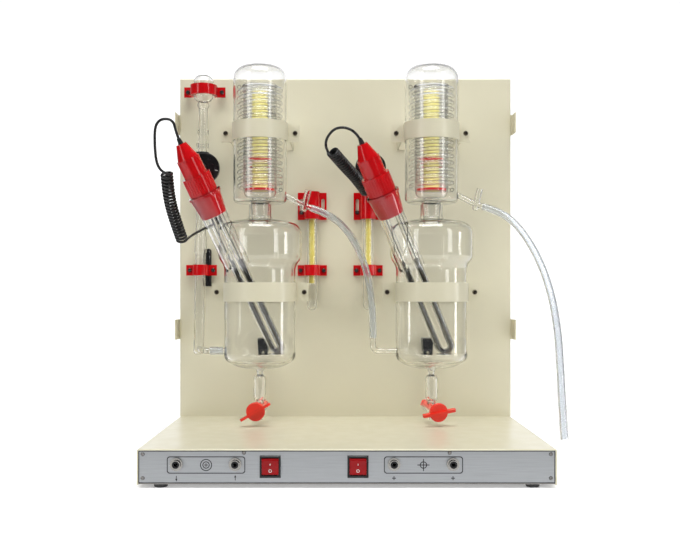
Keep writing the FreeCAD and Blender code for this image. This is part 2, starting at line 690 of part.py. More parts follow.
def condenser(side):
    tee = Vec(TEE_REACH, 0, TEE_Z)
    lean = math.radians(VENT_LEAN)
    dip = math.radians(OUTLET_DIP)
    vent = Vec(math.sin(lean), 0, math.cos(lean))
    outlet = Vec(math.cos(dip), 0, -math.sin(dip))
    root = Vec(JACKET_RADIUS - 1.2, 0, JACKET_LOW + 13)
    inward = (root - tee).normalize()
    drop = 5.0
    bore = TEE_RADIUS - 1.5
    body = turned([(0, -drop - TEE_RADIUS), bend((0, -drop), TEE_RADIUS, -90, 0), (TEE_RADIUS, VENT_LENGTH),
                   (0, VENT_LENGTH)])
    hollow = turned([(0, -drop - bore), bend((0, -drop), bore, -90, 0), (bore, VENT_LENGTH + 1),
                     (0, VENT_LENGTH + 1)])
    glass = turned(condenser_outline(0)).cut(turned(condenser_outline(WALL)))
    for piece in (rod(ARM_RADIUS, root, tee), rod(ARM_RADIUS, tee, tee + outlet * OUTLET_LENGTH),
                  upright_to(body, tee, vent)):
        glass = glass.fuse(piece)
    glass = cut_all(glass, [rod(ARM_RADIUS - 1.5, tee, root + inward * 6),
                            rod(ARM_RADIUS - 1.5, tee, tee + outlet * (OUTLET_LENGTH + 1)),
                            upright_to(hollow, tee, vent)])
    glass.rotate(Vec(0, 0, 0), UP, CONDENSER_TURN[side])
    return at_still(glass, side)


def condenser_coil(side):
    """The ribbed inner glass. It stands on the jacket's floor and is open at both ends."""
    floor = JACKET_LOW + WALL
    outline = [(COIL_BORE, floor), (RIB_ROOT, floor), (RIB_ROOT, RIB_LOW)]
    for i in range(RIB_COUNT):
        low = RIB_LOW + i * RIB_PITCH
        outline.append(("arc", (RIB_RADIUS, low + RIB_PITCH / 2 - 0.4), (RIB_ROOT, low + RIB_PITCH - 0.8)))
        outline.append((RIB_ROOT, low + RIB_PITCH))
    top = RIB_LOW + RIB_COUNT * RIB_PITCH + 2
    outline += [(RIB_ROOT, top), (COIL_BORE, top)]
    return at_still(turned(outline), side)


def amber_core(side):
    return at_still(turned([(0, CORE_LOW), (CORE_RADIUS, CORE_LOW), (CORE_RADIUS, CORE_HIGH - 4),
                            bend((CORE_RADIUS - 4, CORE_HIGH - 4), 4, 0, 90), (0, CORE_HIGH)]), side)


def core_rings(side):
    rings = []
    for z, radius in RINGS:
        low, high = z - RING_HEIGHT / 2, z + RING_HEIGHT / 2
        section = [(CORE_RADIUS, low), (radius, low), (radius, high), (CORE_RADIUS, high)]
        rings.append(at_still(turned(section), side))
    return rings


# ---------------------------------------------------------------- stopcocks

def stopcock_key(side):
    """Plug, red face and wing handle in one piece, with the drain's cross hole through the plug."""
    plug = rod(PLUG_RADIUS, Vec(0, 0, -BARREL_HALF - 7), Vec(0, 0, KEY_FACE - KEY_THICK + 1))
    tail_groove = rod(PLUG_RADIUS + 1, Vec(0, 0, -BARREL_HALF - 20), Vec(0, 0, -BARREL_HALF - 0.5))
    thread = rod(4.4, Vec(0, 0, -BARREL_HALF - 8), Vec(0, 0, -BARREL_HALF))
    collar = rod(BARREL_RADIUS + 1.5, Vec(0, 0, BARREL_HALF + SLIDING_GAP), Vec(0, 0, BARREL_HALF + 4))
    disc = rod(KEY_RADIUS, Vec(0, 0, KEY_FACE - KEY_THICK), Vec(0, 0, KEY_FACE))
    rim = [e for e in disc.Edges if e.CenterOfMass.z > KEY_FACE - 0.1 and len(e.Vertexes) == 1]
    disc = disc.makeFillet(1.5, rim)
    wings = box((-WING_REACH + 4, -WING_THICK / 2, KEY_FACE - KEY_THICK),
                (WING_REACH - 4, WING_THICK / 2, KEY_FACE - KEY_THICK + WING_HEIGHT))
    ends = [Part.makeCylinder(4, WING_THICK, Vec(x, -WING_THICK / 2, KEY_FACE - KEY_THICK + z), REARWARD)
            for x in (-WING_REACH + 4, WING_REACH - 4) for z in (4, WING_HEIGHT - 4)]
    ribs = [box((x - 4, -WING_THICK / 2, KEY_FACE - KEY_THICK + 4),
                (x + 4, WING_THICK / 2, KEY_FACE - KEY_THICK + WING_HEIGHT - 4))
            for x in (-WING_REACH + 4, WING_REACH - 4)]
    key = fused([plug.cut(tail_groove), thread, collar, disc, wings] + ends + ribs)
    cross = Part.makeCylinder(DRAIN_BORE, 4 * PLUG_RADIUS, Vec(0, -2 * PLUG_RADIUS, 0), REARWARD)
    cross.rotate(Vec(0, 0, 0), UP, 45)
    return place_on_stopcock(key.cut(cross), side)


def stopcock_nut(side):
    angles = [math.radians(60 * i) for i in range(7)]
    corners = [Vec(9 * math.cos(a), 9 * math.sin(a), -BARREL_HALF - 7.5) for a in angles]
    nut = Part.Face(Part.makePolygon(corners)).extrude(UP * 6)
    return place_on_stopcock(nut.cut(rod(4.4, Vec(0, 0, -BARREL_HALF - 9), Vec(0, 0, -BARREL_HALF))), side)


def place_on_stopcock(shape, side):
    """From a key that looks up along +Z with its wings along X, to its place in the drain's barrel."""
    axis = stopcock_axis(side)
    across = axis.cross(UP).normalize() * -1
    shape.rotate(Vec(0, 0, 0), UP, WING_ANGLE[side])
    frame = FreeCAD.Matrix(across.x, axis.cross(across).x, axis.x, 0,
                           across.y, axis.cross(across).y, axis.y, 0,
                           across.z, axis.cross(across).z, axis.z, STOPCOCK_Z, 0, 0, 0, 1)
    return at_still(shape.transformGeometry(frame), side)


# ---------------------------------------------------------------- heaters

def leg_direction(side):
    level = (RIGHTWARD - HEATER_AXIS * RIGHTWARD.dot(HEATER_AXIS)).normalize()
    turn = FreeCAD.Rotation(HEATER_AXIS, LEG_TWIST[side])
    return turn.multVec(level)


def u_tube(side, radius, top):
    """Two legs and a half-ring bend in the plane of the legs."""
    sideways = leg_direction(side) * LEG_SPREAD
    bend_centre = heater_point(HEATER_LENGTH - LEG_SPREAD - LEG_RADIUS)
    start = heater_point(top) + sideways
    path = Part.Wire([Part.LineSegment(start, bend_centre + sideways).toShape(),
                      Part.Arc(bend_centre + sideways, bend_centre + HEATER_AXIS * LEG_SPREAD,
                               bend_centre - sideways).toShape(),
                      Part.LineSegment(bend_centre - sideways, heater_point(top) - sideways).toShape()])
    section = Part.Wire([Part.Circle(start, HEATER_AXIS, radius).toShape()])
    return path.makePipeShell([section], True, False)


def heater_tube(side):
    return at_still(u_tube(side, LEG_RADIUS, CAP_END + 8).cut(u_tube(side, LEG_BORE, CAP_END + 7)), side)


def heater_element(side):
    """The heating spiral's sheath round the bend, with a thin lead up each leg."""
    sideways = leg_direction(side) * LEG_SPREAD
    leads = [rod(0.8, heater_point(CAP_END + 9) + offset, heater_point(ELEMENT_TOP + 1) + offset)
             for offset in (sideways, sideways * -1)]
    return at_still(fused([u_tube(side, ELEMENT_RADIUS, ELEMENT_TOP)] + leads), side)


def heater_stopper(side):
    sideways = leg_direction(side) * LEG_SPREAD
    body = heater_cone(STOPPER_WIDE, STOPPER_NARROW, CAP_END, STOPPER_END)
    holes = [rod(LEG_RADIUS, heater_point(CAP_END + 8) + offset, heater_point(STOPPER_END + 1) + offset)
             for offset in (sideways, sideways * -1)]
    return at_still(cut_all(body, holes), side)


def heater_cap(side):
    """Slotted strain relief, shouldered body, and the core that the collar turns on."""
    shoulder = heater_cone(8.5, 17.7, CAP_TOP, CAP_SHOULDER)
    cap = fused([shoulder, heater_rod(CAP_RADIUS, CAP_SHOULDER, CAP_END)])
    level = (RIGHTWARD - HEATER_AXIS * RIGHTWARD.dot(HEATER_AXIS)).normalize()
    for i in range(4):
        out = FreeCAD.Rotation(HEATER_AXIS, 45 + 90 * i).multVec(level)
        start = heater_point(CAP_TOP + 7) + out * 8.5
        cap = cap.cut(rod(1.6, start, start + (HEATER_AXIS + out * 0.37) * 15))
    return at_still(cap, side)


def heater_collar(side):
    ring = heater_rod(COLLAR_RADIUS, COLLAR_TOP, COLLAR_END)
    level = (RIGHTWARD - HEATER_AXIS * RIGHTWARD.dot(HEATER_AXIS)).normalize()
    grooves = []
    for i in range(30):
        out = FreeCAD.Rotation(HEATER_AXIS, 12 * i).multVec(level) * (COLLAR_RADIUS + 0.4)
        grooves.append(rod(1.2, heater_point(COLLAR_TOP + 3) + out, heater_point(COLLAR_END - 3) + out))
    ring = ring.cut(group(grooves))
    return at_still(ring.cut(heater_rod(CAP_RADIUS + SLIDING_GAP, COLLAR_TOP - 1, COLLAR_END + 1)), side)


# ---------------------------------------------------------------- clamp bands

def band_span(band):
    return band["z"] - band["height"] / 2, band["z"] + band["height"] / 2


def ear_holes(band):
    """Screw holes through the ears of a clamp or its bracket."""
    reach = band["reach"] - EAR_WIDTH / 2
    return [along_y(2.0, sign * reach, band["z"], -5, 20) for sign in SIDES.values()]


def strap(side, band):
    """Front half of a clamp: a bent strip round the glass with an ear at each end."""
    low, high = band_span(band)
    inner = band["glass"] + 0.1
    outer = inner + BAND_THICK
    ring = cut_all(rod(outer, Vec(0, 0, low), Vec(0, 0, high)),
                   [rod(inner, Vec(0, 0, low - 1), Vec(0, 0, high + 1)),
                    box((-outer - 1, EAR_BACK, low - 1), (outer + 1, outer + 1, high + 1))])
    ear_root = math.sqrt(inner ** 2 - (EAR_BACK - BAND_THICK) ** 2) + 0.8
    pieces = [ring]
    for sign in SIDES.values():
        near, far = sorted((sign * ear_root, sign * band["reach"]))
        pieces.append(box((near, EAR_BACK - BAND_THICK, low), (far, EAR_BACK, high)))
    return at_still(cut_all(fused(pieces), ear_holes(band)), side)


def bracket(side, band):
    """The bent channel behind a clamp: a web on the panel, two arms, and an ear on each arm."""
    low, high = band_span(band)
    arm = band["reach"] - EAR_WIDTH
    back = PANEL_Y - STILL_Y
    pieces = [box((-arm, back - BAND_THICK, low), (arm, back, high))]
    for sign in SIDES.values():
        near, far = sorted((sign * arm, sign * (arm - BAND_THICK)))
        pieces.append(box((near, EAR_BACK, low), (far, back, high)))
        near, far = sorted((sign * (arm - BAND_THICK), sign * band["reach"]))
        pieces.append(box((near, EAR_BACK, low), (far, EAR_BACK + BAND_THICK, high)))
    return at_still(cut_all(fused(pieces), ear_holes(band)), side)


def band_screws():
    screws = []
    for side in SIDES:
        for band in BANDS.values():
            for sign in SIDES.values():
                x = still_x(side) + sign * (band["reach"] - EAR_WIDTH / 2)
                screws.append(screw(x, STILL_Y + EAR_BACK - BAND_THICK, band["z"], -1, 2.0, 8))
    return screws


# ---------------------------------------------------------------- level tube and water valves

def leaned(shape):
    """From an upright on the origin's vertical to the level tube's leaning axis."""
    shape.translate(Vec(LEVEL_X, LEVEL_Y, 0))
    shape.rotate(Vec(LEVEL_X, LEVEL_Y, LEVEL_PIVOT_Z), REARWARD, LEVEL_LEAN)
    return shape


def level_axis_x(z):
    return LEVEL_X + (z - LEVEL_PIVOT_Z) * math.tan(math.radians(LEVEL_LEAN))


def upper_level_outline(wall):
    tube = 8.0 - wall
    cup = 17.5 - wall
    return [(0, VALVE_TOP - (1 if wall else 0)), (tube, VALVE_TOP - (1 if wall else 0)), (tube, 608),
            ("arc", (10.5 - wall, 614), (tube, 620)),
            ("arc", (0.75 * cup, 622 + 0.6 * wall), (cup, 628 + 0.5 * wall)), (cup, 655),
            bend((17.5 - 12.0, 655), 12.0 - wall, 0, 90), (0, 667 - wall)]


def level_glass():
    upper = turned(upper_level_outline(0)).cut(turned(upper_level_outline(LEVEL_WALL)))
    trims = [(566, 3.0, 10.4), (538, 1.2, 11.0), (541, 1.2, 11.0), (544, 1.2, 11.0)]
    rings = [rod(radius, UP * (z - half), UP * (z + half)).cut(rod(7.0, UP * (z - 5), UP * (z + 5)))
             for z, half, radius in trims]
    upper = leaned(fused([upper] + rings))

    def lower_outline(wall):
        tube = LEVEL_RADIUS - wall
        wide = 11.0 - wall
        top = VALVE_FOOT + (1 if wall else 0)
        foot = LEVEL_FOOT + wall
        return [(0, foot), (tube - 5, foot), bend((tube - 5, foot + 5), 5, -90, 0), (tube, 349)] + \
            s_bend((tube, 349), (wide, 353)) + [(wide, 377)] + \
            [("arc", (wide - 0.3, 379.5), (tube, 381)), (tube, top), (0, top)]

    lower = leaned(turned(lower_outline(0)).cut(turned(lower_outline(LEVEL_WALL))))
    root = Vec(level_axis_x(INLET_Z), LEVEL_Y, INLET_Z)
    corner = Vec(CROSS_CORNER_X, STILL_Y, INLET_Z)
    inward = (root - corner).normalize()
    end = Vec(CROSS_END_X, STILL_Y, INLET_Z)
    arm = [rod(INLET_RADIUS, corner, root - inward * (LEVEL_RADIUS - 1)), rod(INLET_RADIUS, corner, end),
           Part.makeSphere(INLET_RADIUS, corner)]
    bores = [rod(INLET_RADIUS - 1.5, corner, root), rod(INLET_RADIUS - 1.5, corner, end + RIGHTWARD)]
    return group([upper, cut_all(fused([lower] + arm), bores)])


def level_sleeve():
    start = Vec(SLEEVE_X[0], STILL_Y, INLET_Z)
    end = Vec(SLEEVE_X[1], STILL_Y, INLET_Z)
    bore = rod(INLET_RADIUS + RUNNING_GAP, start - RIGHTWARD, end + RIGHTWARD)
    return rod(SLEEVE_RADIUS, start, end).cut(bore)


def level_probe():
    """A reed-switch capsule on the panel, behind the level tube."""
    low, high = PROBE_LEVELS
    centre_y = PANEL_Y - PROBE_RADIUS - 0.4
    capsule = turned([(0, low), (PROBE_RADIUS, low), (PROBE_RADIUS, high - PROBE_RADIUS),
                      bend((0, high - PROBE_RADIUS), PROBE_RADIUS, 0, 90)])
    capsule.translate(Vec(PROBE_X, centre_y, 0))
    foot = box((PROBE_X - 3, centre_y, low + 6), (PROBE_X + 3, PANEL_Y, low + 16))
    return fused([capsule, foot])


def valve_body(side):
    x = still_x(side) + VALVE_X
    pieces = [along_y(VALVE_RADIUS, x, VALVE_Z, KNOB_BACK + 2, PANEL_Y - 15),
              along_y(8.0, x, VALVE_Z, PANEL_Y - 16, PANEL_Y),
              along_y(4.9, x, VALVE_Z, PANEL_Y - 1, PANEL_Y + 6)]
    if side == "left":
        pieces.append(leaned(rod(11.8, Vec(0, 0, VALVE_FOOT), Vec(0, 0, VALVE_TOP))))
    return fused(pieces).cut(along_y(SPINDLE_RADIUS + RUNNING_GAP, x, VALVE_Z, KNOB_BACK + 1, KNOB_BACK + 16))


def water_knob(side):
    x = still_x(side) + VALVE_X
    disc = along_y(KNOB_RADIUS, x, VALVE_Z, KNOB_FRONT + 8, KNOB_BACK)
    rim = [e for e in disc.Edges if e.CenterOfMass.y < KNOB_FRONT + 8.1 and len(e.Vertexes) == 1]
    disc = disc.makeFillet(2.0, rim)
    grip = box((x - KNOB_RADIUS + 3, KNOB_FRONT, VALVE_Z - 5),
               (x + KNOB_RADIUS - 3, KNOB_FRONT + 9, VALVE_Z + 5))
    grip = grip.makeFillet(2.0, [e for e in grip.Edges if e.CenterOfMass.y < KNOB_FRONT + 0.1])
    spindle = along_y(SPINDLE_RADIUS, x, VALVE_Z, KNOB_BACK - 1, KNOB_BACK + 14)
    knob = fused([disc, grip, spindle])
    knob.rotate(Vec(x, 0, VALVE_Z), REARWARD, -GRIP_ANGLE)
    return knob


# ---------------------------------------------------------------- saddle clips and sensors

def saddle(x, y, z, inner, outer, height, half, ear_back, screw_x):
    """An omega clip: half a ring in front of the tube, two legs back, and an ear on each side."""
    low, high = z - height / 2, z + height / 2
    axis_low, axis_high = Vec(x, y, low), Vec(x, y, high)
    rear = box((x - half, y, low - 1), (x + half, y + outer + 1, high + 1))
    ring = rod(outer, axis_low, axis_high).cut(rear)
    pieces = [ring, box((x - outer, y, low), (x + outer, ear_back, high)),
              box((x - half, ear_back - CLIP_THICK, low), (x + half, ear_back, high))]
    cutters = [rod(inner, axis_low - UP, axis_high + UP),
               box((x - inner, y, low - 1), (x + inner, ear_back + 1, high + 1))]
    cutters += [along_y(2.0, x + sign * screw_x, z, ear_back - CLIP_THICK - 1, ear_back + 1)
                for sign in SIDES.values()]
    return cut_all(fused(pieces), cutters)


CLIPS = [
    {"x": level_axis_x(CUP_CLIP_Z), "y": LEVEL_Y, "z": CUP_CLIP_Z, "inner": 17.9, "outer": 23.5,
     "height": 18.0, "half": 37.0, "ear_back": PANEL_Y - CLIP_STANDOFF, "screw_x": 30.5},
    {"x": LEVEL_X, "y": LEVEL_Y, "z": TUBE_CLIP_Z, "inner": 9.6, "outer": 13.3, "height": 19.0,
     "half": 27.5, "ear_back": PANEL_Y - CLIP_STANDOFF, "screw_x": 21.0},
] + [
    {"x": SENSOR_X[side], "y": SENSOR_Y, "z": TUBE_CLIP_Z, "inner": SENSOR_RADIUS + SLIDING_GAP,
     "outer": 14.5, "height": 19.0, "half": 26.5, "ear_back": PANEL_Y, "screw_x": 20.8} for side in SIDES
]


def tube_clips():
    return group([saddle(**clip) for clip in CLIPS])


def clip_posts():
    posts = []
    for clip in CLIPS:
        for sign in SIDES.values():
            if clip["ear_back"] < PANEL_Y:
                x = clip["x"] + sign * clip["screw_x"]
                post = along_y(POST_RADIUS, x, clip["z"], clip["ear_back"], PANEL_Y)
                posts.append(post.cut(along_y(2.0, x, clip["z"], clip["ear_back"] - 1, clip["ear_back"] + 8)))
    return group(posts)


def clip_screws():
    screws = []
    for clip in CLIPS:
        for sign in SIDES.values():
            length = 10 if clip["ear_back"] < PANEL_Y else CLIP_THICK
            screws.append(screw(clip["x"] + sign * clip["screw_x"], clip["ear_back"] - CLIP_THICK, clip["z"],
                                -1, 2.0, length))
    for side in SIDES:
        for sign in SIDES.values():
            screws.append(screw(SENSOR_X[side] + sign * SLOT_X, PANEL_Y - CLIP_THICK - 2 * SLIDING_GAP,
                                SLOT_LEVELS[0] + 3.2, -1, 2.0, CLIP_THICK + 2 * SLIDING_GAP))
    return screws


def sensor_holder(side):
    """A saddle that grips the sensor's tube, with a slot in each ear so it can be set lower."""
    x = SENSOR_X[side]
    low, high = HOLDER_LEVELS
    back = PANEL_Y - SLIDING_GAP
    ring = rod(HOLDER_RADIUS, Vec(x, SENSOR_Y, low), Vec(x, SENSOR_Y, high))
    ring = ring.cut(box((x - 30, SENSOR_Y, low - 1), (x + 30, SENSOR_Y + 30, high + 1)))
    pieces = [ring, box((x - HOLDER_RADIUS, SENSOR_Y, low), (x + HOLDER_RADIUS, back, high)),
              box((x - HOLDER_HALF, back - CLIP_THICK, low), (x + HOLDER_HALF, back, high))]
    cutters = [rod(SENSOR_RADIUS, Vec(x, SENSOR_Y, low - 1), Vec(x, SENSOR_Y, high + 1)),
               box((x - SENSOR_RADIUS, SENSOR_Y, low - 1), (x + SENSOR_RADIUS, PANEL_Y, high + 1))]
    round_end = SLOT_WIDTH / 2
    for sign in SIDES.values():
        slot_x = x + sign * SLOT_X
        cutters.append(box((slot_x - round_end, PANEL_Y - 9, SLOT_LEVELS[0] + round_end),
                           (slot_x + round_end, PANEL_Y, SLOT_LEVELS[1] - round_end)))
        cutters += [along_y(round_end, slot_x, z, PANEL_Y - 9, PANEL_Y)
                    for z in (SLOT_LEVELS[0] + round_end, SLOT_LEVELS[1] - round_end)]
    return cut_all(fused(pieces), cutters)


def sensor_tube(side):
    def outline(wall):
        radius = SENSOR_RADIUS - wall
        top = SENSOR_TOP + (1 if wall else 0)
        return [(0, SENSOR_FOOT + wall), bend((0, SENSOR_FOOT + SENSOR_RADIUS), radius, -90, 0),
                (radius, top), (0, top)]
    glass = turned(outline(0)).cut(turned(outline(SENSOR_WALL)))
    glass.translate(Vec(SENSOR_X[side], SENSOR_Y, 0))
    return glass


def sensor_core(side):
    """A yellow rod under a plug that closes the tube's mouth."""
    core = fused([rod(SENSOR_CORE_RADIUS, Vec(0, 0, SENSOR_CORE_FOOT), Vec(0, 0, SENSOR_TOP)),
                  rod(SENSOR_RADIUS - SENSOR_WALL, Vec(0, 0, SENSOR_TOP - 6), Vec(0, 0, SENSOR_TOP))])
    core.translate(Vec(SENSOR_X[side], SENSOR_Y, 0))
    return core


def thermostat(side):
    """A tapered block on the panel that reaches the flask's back, with a notch under it."""
    low, high = THERMOSTAT_LEVELS
    front = STILL_Y + BODY_RADIUS + 1.0
    half = THERMOSTAT_HALF
    corners = [(-half + 2, low), (-3, low), (-2, low + 5), (2, low + 5), (3, low), (half - 2, low),
               (half, high), (-half, high)]
    points = [Vec(still_x(side) + x, front, z) for x, z in corners + corners[:1]]
    return Part.Face(Part.makePolygon(points)).extrude(REARWARD * (PANEL_Y - front))


def grommet(side):
    """Its front lip is open enough for the lead to come in at a slant."""
    x, z = GROMMETS[side]
    body = fused([along_y(7.5, x, z, PANEL_Y - 3, PANEL_Y),
                  along_y(3.95, x, z, PANEL_Y - 1, PANEL_Y + SHEET + 1),
                  along_y(6.0, x, z, PANEL_Y + SHEET, PANEL_Y + SHEET + 2)])
    return cut_all(body, [along_y(4.6, x, z, PANEL_Y - 4, PANEL_Y - 0.5),
                          along_y(LEAD_DIAMETER / 2 + 0.5, x, z, PANEL_Y - 1, PANEL_Y + 6)])


# ---------------------------------------------------------------- parts

PAIRED = {
    "flask": flask, "condenser": condenser, "stopcock_key": stopcock_key, "stopcock_nut": stopcock_nut,
    "heater_cap": heater_cap, "heater_collar": heater_collar, "water_knob": water_knob, "rocker": rocker,
    "sensor_holder": sensor_holder, "sensor_tube": sensor_tube, "sensor_core": sensor_core,
}
SINGLE = {
    "base_tray": base_tray, "bottom_plate": bottom_plate, "front_plate": front_plate,
    "cover_screws": cover_screws, "feet": feet, "back_panel": back_panel, "rear_cover": rear_cover,
    "shield_hooks": shield_hooks, "water_barbs": water_barbs, "mains_gland": mains_gland,
    "rocker_bezels": rocker_bezels, "jack_sockets": jack_sockets, "level_tube": level_glass,
    "level_sleeve": level_sleeve, "level_probe": level_probe, "tube_clips": tube_clips,
    "clip_posts": clip_posts,
}
GROUPED = {
    "condenser_coils": condenser_coil, "amber_cores": amber_core, "heater_stoppers": heater_stopper,
    "heater_tubes": heater_tube, "heater_elements": heater_element, "valve_bodies": valve_body,
    "thermostats": thermostat, "grommets": grommet,
}

for name, make in SINGLE.items():
    save(name, make())
for name, make in GROUPED.items():
    save(name, group([make(side) for side in SIDES]))
save("pan_screws", group(band_screws() + clip_screws()))
save("core_rings", group([ring for side in SIDES for ring in core_rings(side)]))
for level, band in BANDS.items():
    save(level + "_bands", group([strap(side, band) for side in SIDES]))
save("band_brackets", group([bracket(side, band) for side in SIDES for band in BANDS.values()]))
for name, make in PAIRED.items():
    for side in SIDES:
        save(name + "_" + side, make(side))
for name in ROUTES:
    save(name, tube_along(name))
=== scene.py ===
import json
import math

import bmesh
import bpy
from mathutils import Matrix, Vector


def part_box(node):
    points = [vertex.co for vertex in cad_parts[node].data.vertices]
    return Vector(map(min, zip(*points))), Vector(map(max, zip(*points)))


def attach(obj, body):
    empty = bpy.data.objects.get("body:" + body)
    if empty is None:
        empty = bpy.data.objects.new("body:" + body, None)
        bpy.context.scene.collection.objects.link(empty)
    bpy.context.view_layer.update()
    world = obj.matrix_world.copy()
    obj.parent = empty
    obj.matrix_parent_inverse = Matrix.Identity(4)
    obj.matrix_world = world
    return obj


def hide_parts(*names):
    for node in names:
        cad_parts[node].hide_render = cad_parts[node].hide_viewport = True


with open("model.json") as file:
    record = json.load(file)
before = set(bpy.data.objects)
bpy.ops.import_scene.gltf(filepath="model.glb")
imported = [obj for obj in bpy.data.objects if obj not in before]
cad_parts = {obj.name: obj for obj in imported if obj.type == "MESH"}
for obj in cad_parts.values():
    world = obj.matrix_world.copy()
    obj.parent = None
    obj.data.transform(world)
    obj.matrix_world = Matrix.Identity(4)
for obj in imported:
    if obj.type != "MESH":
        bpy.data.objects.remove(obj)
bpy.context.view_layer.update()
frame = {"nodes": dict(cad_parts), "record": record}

# Places and sizes in metres, +Z up, +Y to the rear.
MM = 0.001
SIDES = {"left": -1, "right": 1}
NODES = frame["nodes"]
RECORD = frame["record"]
JOINTS = {joint["name"]: joint for joint in RECORD["behaviour"]["joints"]}
STAND = "stand"
CLEAR_SLOTS = ("clear_glass", "quartz", "clear_tube")

# The condensers' insides; the first is the outer radius of the CAD's vessels, which gives their axes
CAD_COIL_RADIUS = 30.8 * MM
VESSEL_RADIUS = 28.0 * MM
VESSEL_WALL = 1.6 * MM
VESSEL_RIB_PITCH = 5.6 * MM
VESSEL_RIB = 1.1 * MM
VESSEL_LOW = 438.0 * MM
VESSEL_HIGH = 630.0 * MM
VESSEL_FOOT = 4.0 * MM
VESSEL_FOOT_RADIUS = 13.0 * MM
VESSEL_LIP = 2.6 * MM
COIL_WALL = 0.9 * MM
COIL = {"radius": 35.4 * MM, "tube": 3.6 * MM, "low": 455.0 * MM, "pitch": 11.3 * MM, "turns": 15.5}

# Front plate
GROUPS = ((-257.0 * MM, -145.0 * MM), (53.0 * MM, 166.0 * MM))
GROUP_LOW = 21.0 * MM
GROUP_HIGH = 45.6 * MM
MARK_Z = 14.5 * MM
PRINT_LINE = 1.3 * MM
# Width of the black ring of painted shade in the gap round the front plate
PLATE_GAP_SHADE = 1.3 * MM
FINE_LINE = 0.9 * PRINT_LINE
SHAFT_LINE = 0.8 * PRINT_LINE
SYMBOL_RADIUS = 8.6 * MM
SYMBOL_MIDDLE = 0.6 * SYMBOL_RADIUS
SYMBOL_DOT = 0.25 * SYMBOL_RADIUS
SOCKET_X = [mount["pos_m"][0] for mount in RECORD["mounts"] if mount["name"].startswith("jack")]
SOCKET_Z = 34.4 * MM
SOCKET_FACE = 5.3 * MM
SOCKET_BORE = 3.25 * MM

# Places of a rocker's two marks from its hinge, to the rear and up
ROCKER_RAISED = (-6.45 * MM, 4.4 * MM)
ROCKER_PRESSED = (-5.2 * MM, -5.8 * MM)
ROCKER_LEAN = 14.0

# The bands' screws are in front of this Y and the clips' screws behind it
SCREW_DIVIDE = 80.0 * MM

# The water knobs' index lines: how far their face lies behind the knob's front, and their angle
KNOB_STEP = 8.0 * MM
KNOB_MARK = -12.0

# Printed marks on the plate, rockers and knobs
KNOB_LINE = (5.0 * MM, 1.1 * MM)
KNOB_LINE_OUT = 22.2 * MM
GROUP_CORNER = 4.0 * MM
GROUP_INNER_CORNER = 3.4 * MM
# Corners of the black ring of painted gap shade round the front plate
PLATE_GAP_SHADE_CORNER = 1.2 * MM
PLATE_GAP_SHADE_INNER_CORNER = 0.6 * MM
PLUS_SIZE = 5.6 * MM
ARROW_SHAFT = 6.6 * MM
ARROW_HALF_WIDTH = 1.7 * MM
ARROW_FOOT = 1.0 * MM
ARROW_TIP = 4.8 * MM
ROCKER_BAR = (0.9 * MM, 4.2 * MM)
ROCKER_RING = (2.3 * MM, 0.7 * MM)
PRINT_THICK = 0.12 * MM

# The sockets' liners, with depths from the sockets' front
LINER_FRONT = -0.3 * MM
LINER_FLANGE = 0.4 * MM
LINER_FLOOR = 25.0 * MM
LINER_END = 25.4 * MM
LINER_WALL = 0.5 * MM
LINER_FLOOR_GAP = 0.4 * MM
AXIS_GAP = 0.1 * MM

# Cap sleeves: (radius, height) points of the outside, from the wide foot to the tip
SLEEVE_SIDE = ((4.8 * MM, -4.0 * MM), (4.4 * MM, 1.0 * MM), (3.6 * MM, 6.0 * MM), (3.1 * MM, 9.5 * MM),
               (2.8 * MM, 10.0 * MM))
SLEEVE_GAP = 0.1 * MM

# Facets of round shapes, and the sharpest edge in degrees that is still shaded smooth
SMOOTH_DEGREES = 35
ARC_STEPS = 10
TURN_STEPS = 96
CORNER_STEPS = 6
RING_POINTS = 48
COIL_STEPS = 40
COIL_SIDES = 12
RIB_STEPS = 8
LINER_STEPS = 40
LINER_FLOOR_STEPS = 24
SLEEVE_STEPS = 32
BEVEL_STEPS = 6
SPLINE_STEPS = 8
SPLINE_ORDER = 3

# Camera, with its distance from the front plate's face
CAMERA_DISTANCE = 1.2948
CAMERA_HEIGHT = 0.276
CAMERA_SIDE = -0.0097
CAMERA_LENS = 48.0
CAMERA_SHIFT = 0.0295
LIGHT_BOUNCES = 32

# The softboxes' aim, and each one's name, place, width, height and power in watts
AIM = Vector((0, 0, 0.32))
SOFTBOXES = (
    ("left softbox", (-2.6, -2.4, 1.35), 0.9, 1.9, 20.0),
    ("right softbox", (2.6, -2.3, 1.25), 0.75, 1.9, 18.5),
    ("low right strip", (2.3, -0.4, 0.32), 0.35, 0.6, 5.0),
    ("overhead softbox", (0.0, -0.9, 2.6), 2.0, 1.2, 64.0),
)

# The studio's light, from dim to bright as a direction turns to the rear
STUDIO_DIM = 0.12
STUDIO_BRIGHT = 1.0
STUDIO_TURN = (0.45, 0.95)

# The table and its backdrop; its own light grows from front to rear
FLOOR_REACH = 2.4
FLOOR_FRONT = -0.85
BACKDROP_Y = 3.0
BACKDROP_TOP = 2.6
BACKDROP_CORNER = 1.0
BACKDROP_STEPS = 12
FLOOR_GLOW = (0.34, 0.66)
FLOOR_GLOW_Y = (0.4, 2.6)

